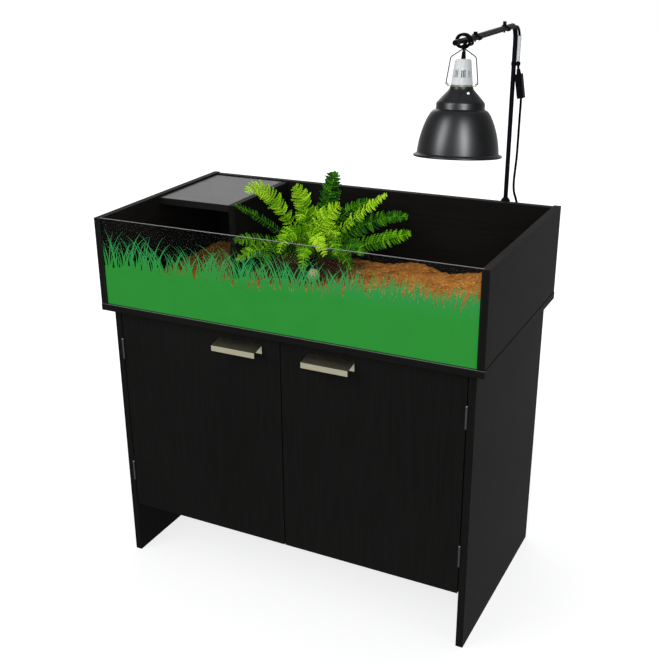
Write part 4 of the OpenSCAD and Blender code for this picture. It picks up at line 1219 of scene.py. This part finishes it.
# ---------------------------------------------------------------------- bedding
@dataclass
class Bedding:
    """Bark bedding with loose chips on it, open where the hide's divider stands."""

    side: float = 0.4407
    front: float = TRAY_FRONT + 0.0095
    rear: float = TRAY_REAR - 0.0163
    depth: float = 0.019
    ball: Pair = BALL_SPOT
    seat: float = 0.0203
    seat_radii: Pair = (0.012, 0.036)
    divider: Point = (-0.2453, -0.2287, TRAY_REAR - 0.2803)
    chips: int = 3600
    margin: float = 0.012
    seed: int = 5

    def height(self, x: float, y: float) -> float:
        """Height of the bedding's top.

        Args:
            x: Place from left to right.
            y: Place from front to rear.

        Returns:
            Its height above the floor.
        """

        def mound(cx: float, cy: float, wide: float, deep: float) -> float:
            """A round mound of height one."""
            return math.exp(-(((x - cx) / wide) ** 2) - ((y - cy) / deep) ** 2)

        back = TRAY_REAR - 0.016
        z = self.depth + 0.011 * mound(0.125, back, 0.05, 0.13) + 0.012 * mound(0.33, back, 0.07, 0.15)
        z -= 0.005 * mound(0.206, back, 0.034, 0.09)
        z += 0.0015 * math.sin(x * 127 + y * 54) * math.sin(y * 152 - x * 85)
        z += 0.0008 * math.sin(x * 340) * math.sin(y * 310 + 1)
        z += 0.0007 * math.sin(x * 610 + 41 * math.sin(y * 23)) * math.sin(y * 570 + 37 * math.sin(x * 19))
        near_ball = math.hypot(x - self.ball[0], y - self.ball[1])
        flat, wide = self.seat_radii
        if near_ball < wide:
            z = self.seat + (z - self.seat) * max(0.0, (near_ball - flat) / (wide - flat)) ** 2
        return BASE_TOP + z

    def bed(self) -> Piece:
        """Makes the bed itself.

        Returns:
            A closed block with a rough top.
        """
        bed = grid(210, 110)
        for vertex in bed.data.vertices:
            vertex.co.x *= 2 * self.side
            vertex.co.y = self.front + (vertex.co.y + 0.5) * (self.rear - self.front)
        pick(bed)
        bpy.ops.object.mode_set(mode="EDIT")
        bpy.ops.mesh.select_all(action="DESELECT")
        mesh = bmesh.from_edit_mesh(bed.data)
        left, right, start = self.divider
        for face in mesh.faces:
            middle = face.calc_center_median()
            face.select = left < middle.x < right and middle.y > start
        bmesh.update_edit_mesh(bed.data)
        bpy.ops.mesh.delete(type="FACE")
        bpy.ops.mesh.select_all(action="SELECT")
        bpy.ops.mesh.extrude_region_move(TRANSFORM_OT_translate={"value": (0, 0, 0)})
        mesh = bmesh.from_edit_mesh(bed.data)
        for vertex in mesh.verts:
            vertex.co.z = self.height(vertex.co.x, vertex.co.y) - 0.0006 if vertex.select else BASE_TOP
        bmesh.update_edit_mesh(bed.data)
        bpy.ops.object.mode_set(mode="OBJECT")
        mark(bed, "chip", [0.0])
        return bed

    def chip(self) -> Piece:
        """One splinter of bark, pinched at both ends and bent up."""
        quiet()
        bpy.ops.mesh.primitive_cube_add(size=1.0)
        chip = bpy.context.object
        bpy.ops.object.mode_set(mode="EDIT")
        bpy.ops.mesh.subdivide(number_cuts=1)
        bpy.ops.object.mode_set(mode="OBJECT")
        for vertex in chip.data.vertices:
            x, y, z = vertex.co
            pinch = 1.0 - 0.7 * abs(x * 2) ** 1.5
            vertex.co = (x, y * pinch, z * pinch + 0.18 * x * x)
        return chip

    def build(self) -> None:
        """Makes the bed and scatters the chips, off the divider and the ball."""
        rng = random.Random(self.seed)
        bed = self.bed()
        first = self.chip()
        pieces = [bed]
        left, right, start = self.divider
        off = self.margin
        while len(pieces) <= self.chips:
            x = rng.uniform(-self.side + off, self.side - off)
            y = rng.uniform(self.front + off, self.rear - off)
            in_divider = left - off < x < right + off and y > start - off
            if in_divider or math.hypot(x - self.ball[0], y - self.ball[1]) < 0.019:
                continue
            chip = linked("chip", first.data.copy())
            size = (rng.uniform(0.004, 0.011), rng.uniform(0.0012, 0.0034), rng.uniform(0.0008, 0.002))
            chip.data.transform(
                Matrix.Translation((x, y, self.height(x, y)))
                @ Matrix.Rotation(rng.uniform(0, math.tau), 4, "Z")
                @ Matrix.Rotation(rng.uniform(-0.35, 0.35), 4, "Y")
                @ Matrix.Rotation(rng.uniform(-0.6, 0.6), 4, "X")
                @ Matrix.Diagonal((*size, 1.0))
            )
            mark(chip, "chip", [rng.uniform(-0.5, 0.9)])
            pieces.append(chip)
        bpy.data.objects.remove(first)
        bedding = joined("bark_bedding", pieces)
        tidy_skin(bedding, 1e-7, 60.0)
        dress(bedding, BARK)
        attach(bedding, "stand")
        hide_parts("bedding")


# ------------------------------------------------------------------------- fern
@dataclass
class Frond:
    """One fern frond: tip and middle of its curve from the crown, in mm, its tone and its leaf length in mm."""

    tip: Point
    middle: Point
    tone: float
    leaf: float
    facing: Point = (0.4, -0.8, 0.45)


FRONDS = [
    Frond((-74, -167, 195), (-97, -40, 220), 0.84, 20),
    Frond((-6, -57, 192), (10, -25, 153), 0.8, 24),
    Frond((63, 8, 217), (80, -18, 198), 0.34, 22),
    Frond((119, -77, 162), (57, -55, 121), 0.82, 25),
    Frond((206, -7, 180), (146, -10, 138), 0.84, 15, (0.1, -0.7, 0.7)),
    Frond((258, -7, 133), (183, -20, 143), 0.32, 20),
    Frond((283, -47, 107), (215, -50, 83), 0.5, 20),
    Frond((-74, -219, 177), (-60, -120, 130), 0.3, 9),
    Frond((-81, -217, 92), (-66, -150, 90), 0.45, 17),
    Frond((-70, -227, 49), (-46, -170, 90), 0.6, 17),
    Frond((120, -157, 67), (62, -115, 140), 0.88, 20),
    Frond((197, -127, 68), (179, -90, 107), 0.36, 18),
    Frond((144, -147, 67), (130, -110, 125), 0.5, 18),
    Frond((20, -190, 70), (15, -110, 150), 0.66, 20),
    Frond((-20, -200, 30), (-10, -130, 110), 0.3, 17),
    Frond((75, -180, 30), (50, -120, 110), 0.6, 18),
    Frond((170, -120, 30), (120, -90, 90), 0.4, 18),
    Frond((-60, 50, 150), (-30, 30, 120), 0.4, 15),
    Frond((60, 45, 165), (30, 30, 110), 0.55, 16),
    Frond((150, 35, 150), (80, 25, 140), 0.4, 15),
]


@dataclass
class Fern:
    """Leafy fern that stands in the bedding, clear of the path of the hide's roof."""

    crown: Point = (-0.130, TRAY_FRONT + 0.415, BASE_TOP + 0.034)
    crown_radius: float = 0.016
    foot_radius: float = 0.006
    foot_height: float = 0.034
    stem_radius: float = 0.0009
    stem_steps: int = 22
    bare_stem: float = 0.12
    gap: float = 0.0083
    leaf_columns: int = 8
    short_fronds: int = 14
    roof_side: Pair = (-0.226, -0.031)
    seed: int = 3

    def leaflet(self) -> Piece:
        """Makes the leaflet that all others are copied from.

        Returns:
            A leaflet 1 long along X, blunt, with a ruffled edge and a sunken vein.
        """
        leaflet = grid(self.leaf_columns, 2)
        veins = []
        for vertex in leaflet.data.vertices:
            x, y, _ = vertex.co
            t = x + 0.5
            odd = round(t * self.leaf_columns) % 2
            outline = math.sin(math.pi * min(1.0, t * 0.8 + 0.17)) ** 0.5 * (0.72 if odd else 1.0)
            ruffle = 0.07 * abs(y) * 2 * (1.0 if odd else -1.0)
            veins.append(1.0 - abs(y) * 2)
            vertex.co = (t, y * outline, 0.1 * abs(y) * 2 + ruffle - 0.22 * t * t)
        mark(leaflet, "vein", veins)
        return leaflet

    def short_frond(self, rng: random.Random) -> Frond:
        """Draws a short frond of the thicket about the crown.

        Args:
            rng: Seeded random numbers.

        Returns:
            The frond.
        """
        way = rng.uniform(-2.6, 1.2)
        reach = rng.uniform(45, 125)
        height = rng.uniform(70, 150) * (1.0 - reach / 260)
        tip = (max(-60.0, math.cos(way) * reach), math.sin(way) * reach * 0.8 - 20, height)
        middle = (tip[0] * 0.45, tip[1] * 0.45, height + rng.uniform(10, 70))
        return Frond(tip, middle, rng.uniform(0.3, 0.92), rng.uniform(13, 18))

    def frond(self, frond: Frond, first: Piece, rng: random.Random) -> List[Piece]:
        """Builds one frond.

        Args:
            frond: Its curve, tone and leaf size.
            first: The leaflet that is copied.
            rng: Seeded random numbers.

        Returns:
            Its rachis and leaflets.
        """
        tip, middle = Vector(frond.tip) / 1000, Vector(frond.middle) / 1000
        base = Vector(self.crown)

        def at(t: float) -> Vector:
            """Point of the curve."""
            return base + 2 * t * (1 - t) * middle + t * t * tip

        line = [at(k / self.stem_steps) for k in range(self.stem_steps + 1)]
        stem = rod("rachis", line, self.stem_radius, FERN_LEAF, 1)
        mark(stem, "tone", [frond.tone + 0.1])
        pieces = [stem]
        facing = Vector(frond.facing)
        length = sum((b - a).length for a, b in zip(line, line[1:]))
        pairs = max(8, round(length * 0.85 / self.gap))
        for k in range(pairs):
            t = self.bare_stem + (1 - self.bare_stem) * k / (pairs - 1)
            along = (at(min(1.0, t + 0.01)) - at(t - 0.01)).normalized()
            side = along.cross(facing).normalized()
            normal = side.cross(along).normalized()
            swell = math.sin(math.pi * (0.2 + 0.8 * (t - self.bare_stem) / 0.92)) ** 0.7
            size = frond.leaf / 1000 * swell * rng.uniform(0.85, 1.15) + 0.003
            for hand in (-1, 1):
                way = (side * hand + along * rng.uniform(0.15, 0.6) + normal * rng.uniform(-0.35, 0.4)).normalized()
                tilted = (normal + side * rng.uniform(-0.3, 0.3) + along * rng.uniform(-0.35, 0.35)).normalized()
                across = tilted.cross(way).normalized()
                turn = Matrix((way, across, way.cross(across))).transposed().to_4x4()
                leaflet = linked("leaflet", first.data.copy())
                width = max(0.004, size * rng.uniform(0.34, 0.46))
                leaflet.data.transform(Matrix.Translation(at(t)) @ turn @ Matrix.Diagonal((size, width, size, 1.0)))
                mark(leaflet, "tone", [frond.tone - 0.12 + rng.uniform(-0.16, 0.16) + 0.24 * t])
                pieces.append(leaflet)
        return pieces

    def build(self) -> None:
        """Makes the whole fern as one piece."""
        rng = random.Random(self.seed)
        first = self.leaflet()
        quiet()
        bpy.ops.mesh.primitive_ico_sphere_add(subdivisions=3, radius=self.crown_radius, location=self.crown)
        crown = settle(bpy.context.object)
        mark(crown, "tone", [-0.8])
        foot = (self.crown[0], self.crown[1], BASE_TOP + self.foot_height / 2)
        bpy.ops.mesh.primitive_cylinder_add(
            vertices=24, radius=self.foot_radius, depth=self.foot_height, location=foot
        )
        pieces = [crown, settle(bpy.context.object)]
        for frond in FRONDS + [self.short_frond(rng) for _ in range(self.short_fronds)]:
            pieces += self.frond(frond, first, rng)
        bpy.data.objects.remove(first)
        fern = joined("leafy_fern", pieces)
        for vertex in fern.data.vertices:
            if vertex.co.y > self.roof_side[1]:
                vertex.co.x = max(vertex.co.x, self.roof_side[0])
        dress(fern, FERN_LEAF)
        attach(fern, "stand")
        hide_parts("fern")


@dataclass
class CaneBall:
    """Ribbed cane ball on the bedding."""

    centre: Point = (*BALL_SPOT, BASE_TOP + 0.0205 + 0.01516)
    radius: float = 0.0155
    ribs: int = 14
    rib_depth: float = 0.055

    def build(self) -> None:
        """Makes the ball with raised ribs from pole to pole."""
        quiet()
        bpy.ops.mesh.primitive_uv_sphere_add(segments=self.ribs * 8, ring_count=32, radius=self.radius)
        ball = bpy.context.object
        for vertex in ball.data.vertices:
            angle = math.atan2(vertex.co.y, vertex.co.x) * self.ribs
            flat = math.hypot(vertex.co.x, vertex.co.y) / self.radius
            vertex.co *= 1 - self.rib_depth + self.rib_depth * (0.5 + 0.5 * math.cos(angle)) * flat
        ball.rotation_euler = (0.5, 0.25, 0.4)
        ball.location = self.centre
        settle(ball)
        ball.name = ball.data.name = "cane_ball"
        tidy_skin(ball, 1e-7, 60.0)
        dress(ball, PALE_CANE)
        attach(ball, "stand")
        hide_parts("ribbed_ball")


def dress_nodes() -> None:
    """Gives every CAD node that still shows its finish."""
    for finish, names in NODE_FINISHES.items():
        for name in names:
            node = bpy.data.objects[name]
            if not node.material_slots:
                node.data.materials.append(finish.material())
            for slot in node.material_slots:
                slot.material = finish.material()


def main() -> None:
    """Builds the scene in order."""
    logging.basicConfig(level=logging.INFO, format="%(message)s")
    studio = Studio()
    studio.camera()
    LampLead().build()
    builders: Iterable[Callable[[], None]] = (
        dress_nodes,
        HeatLamp().build,
        GrassPrint().build,
        Bedding().build,
        Fern().build,
        CaneBall().build,
        studio.build,
    )
    for build in builders:
        build()
        LOG.info("done: %s", build.__qualname__)


if __name__ == "__main__":
    main()
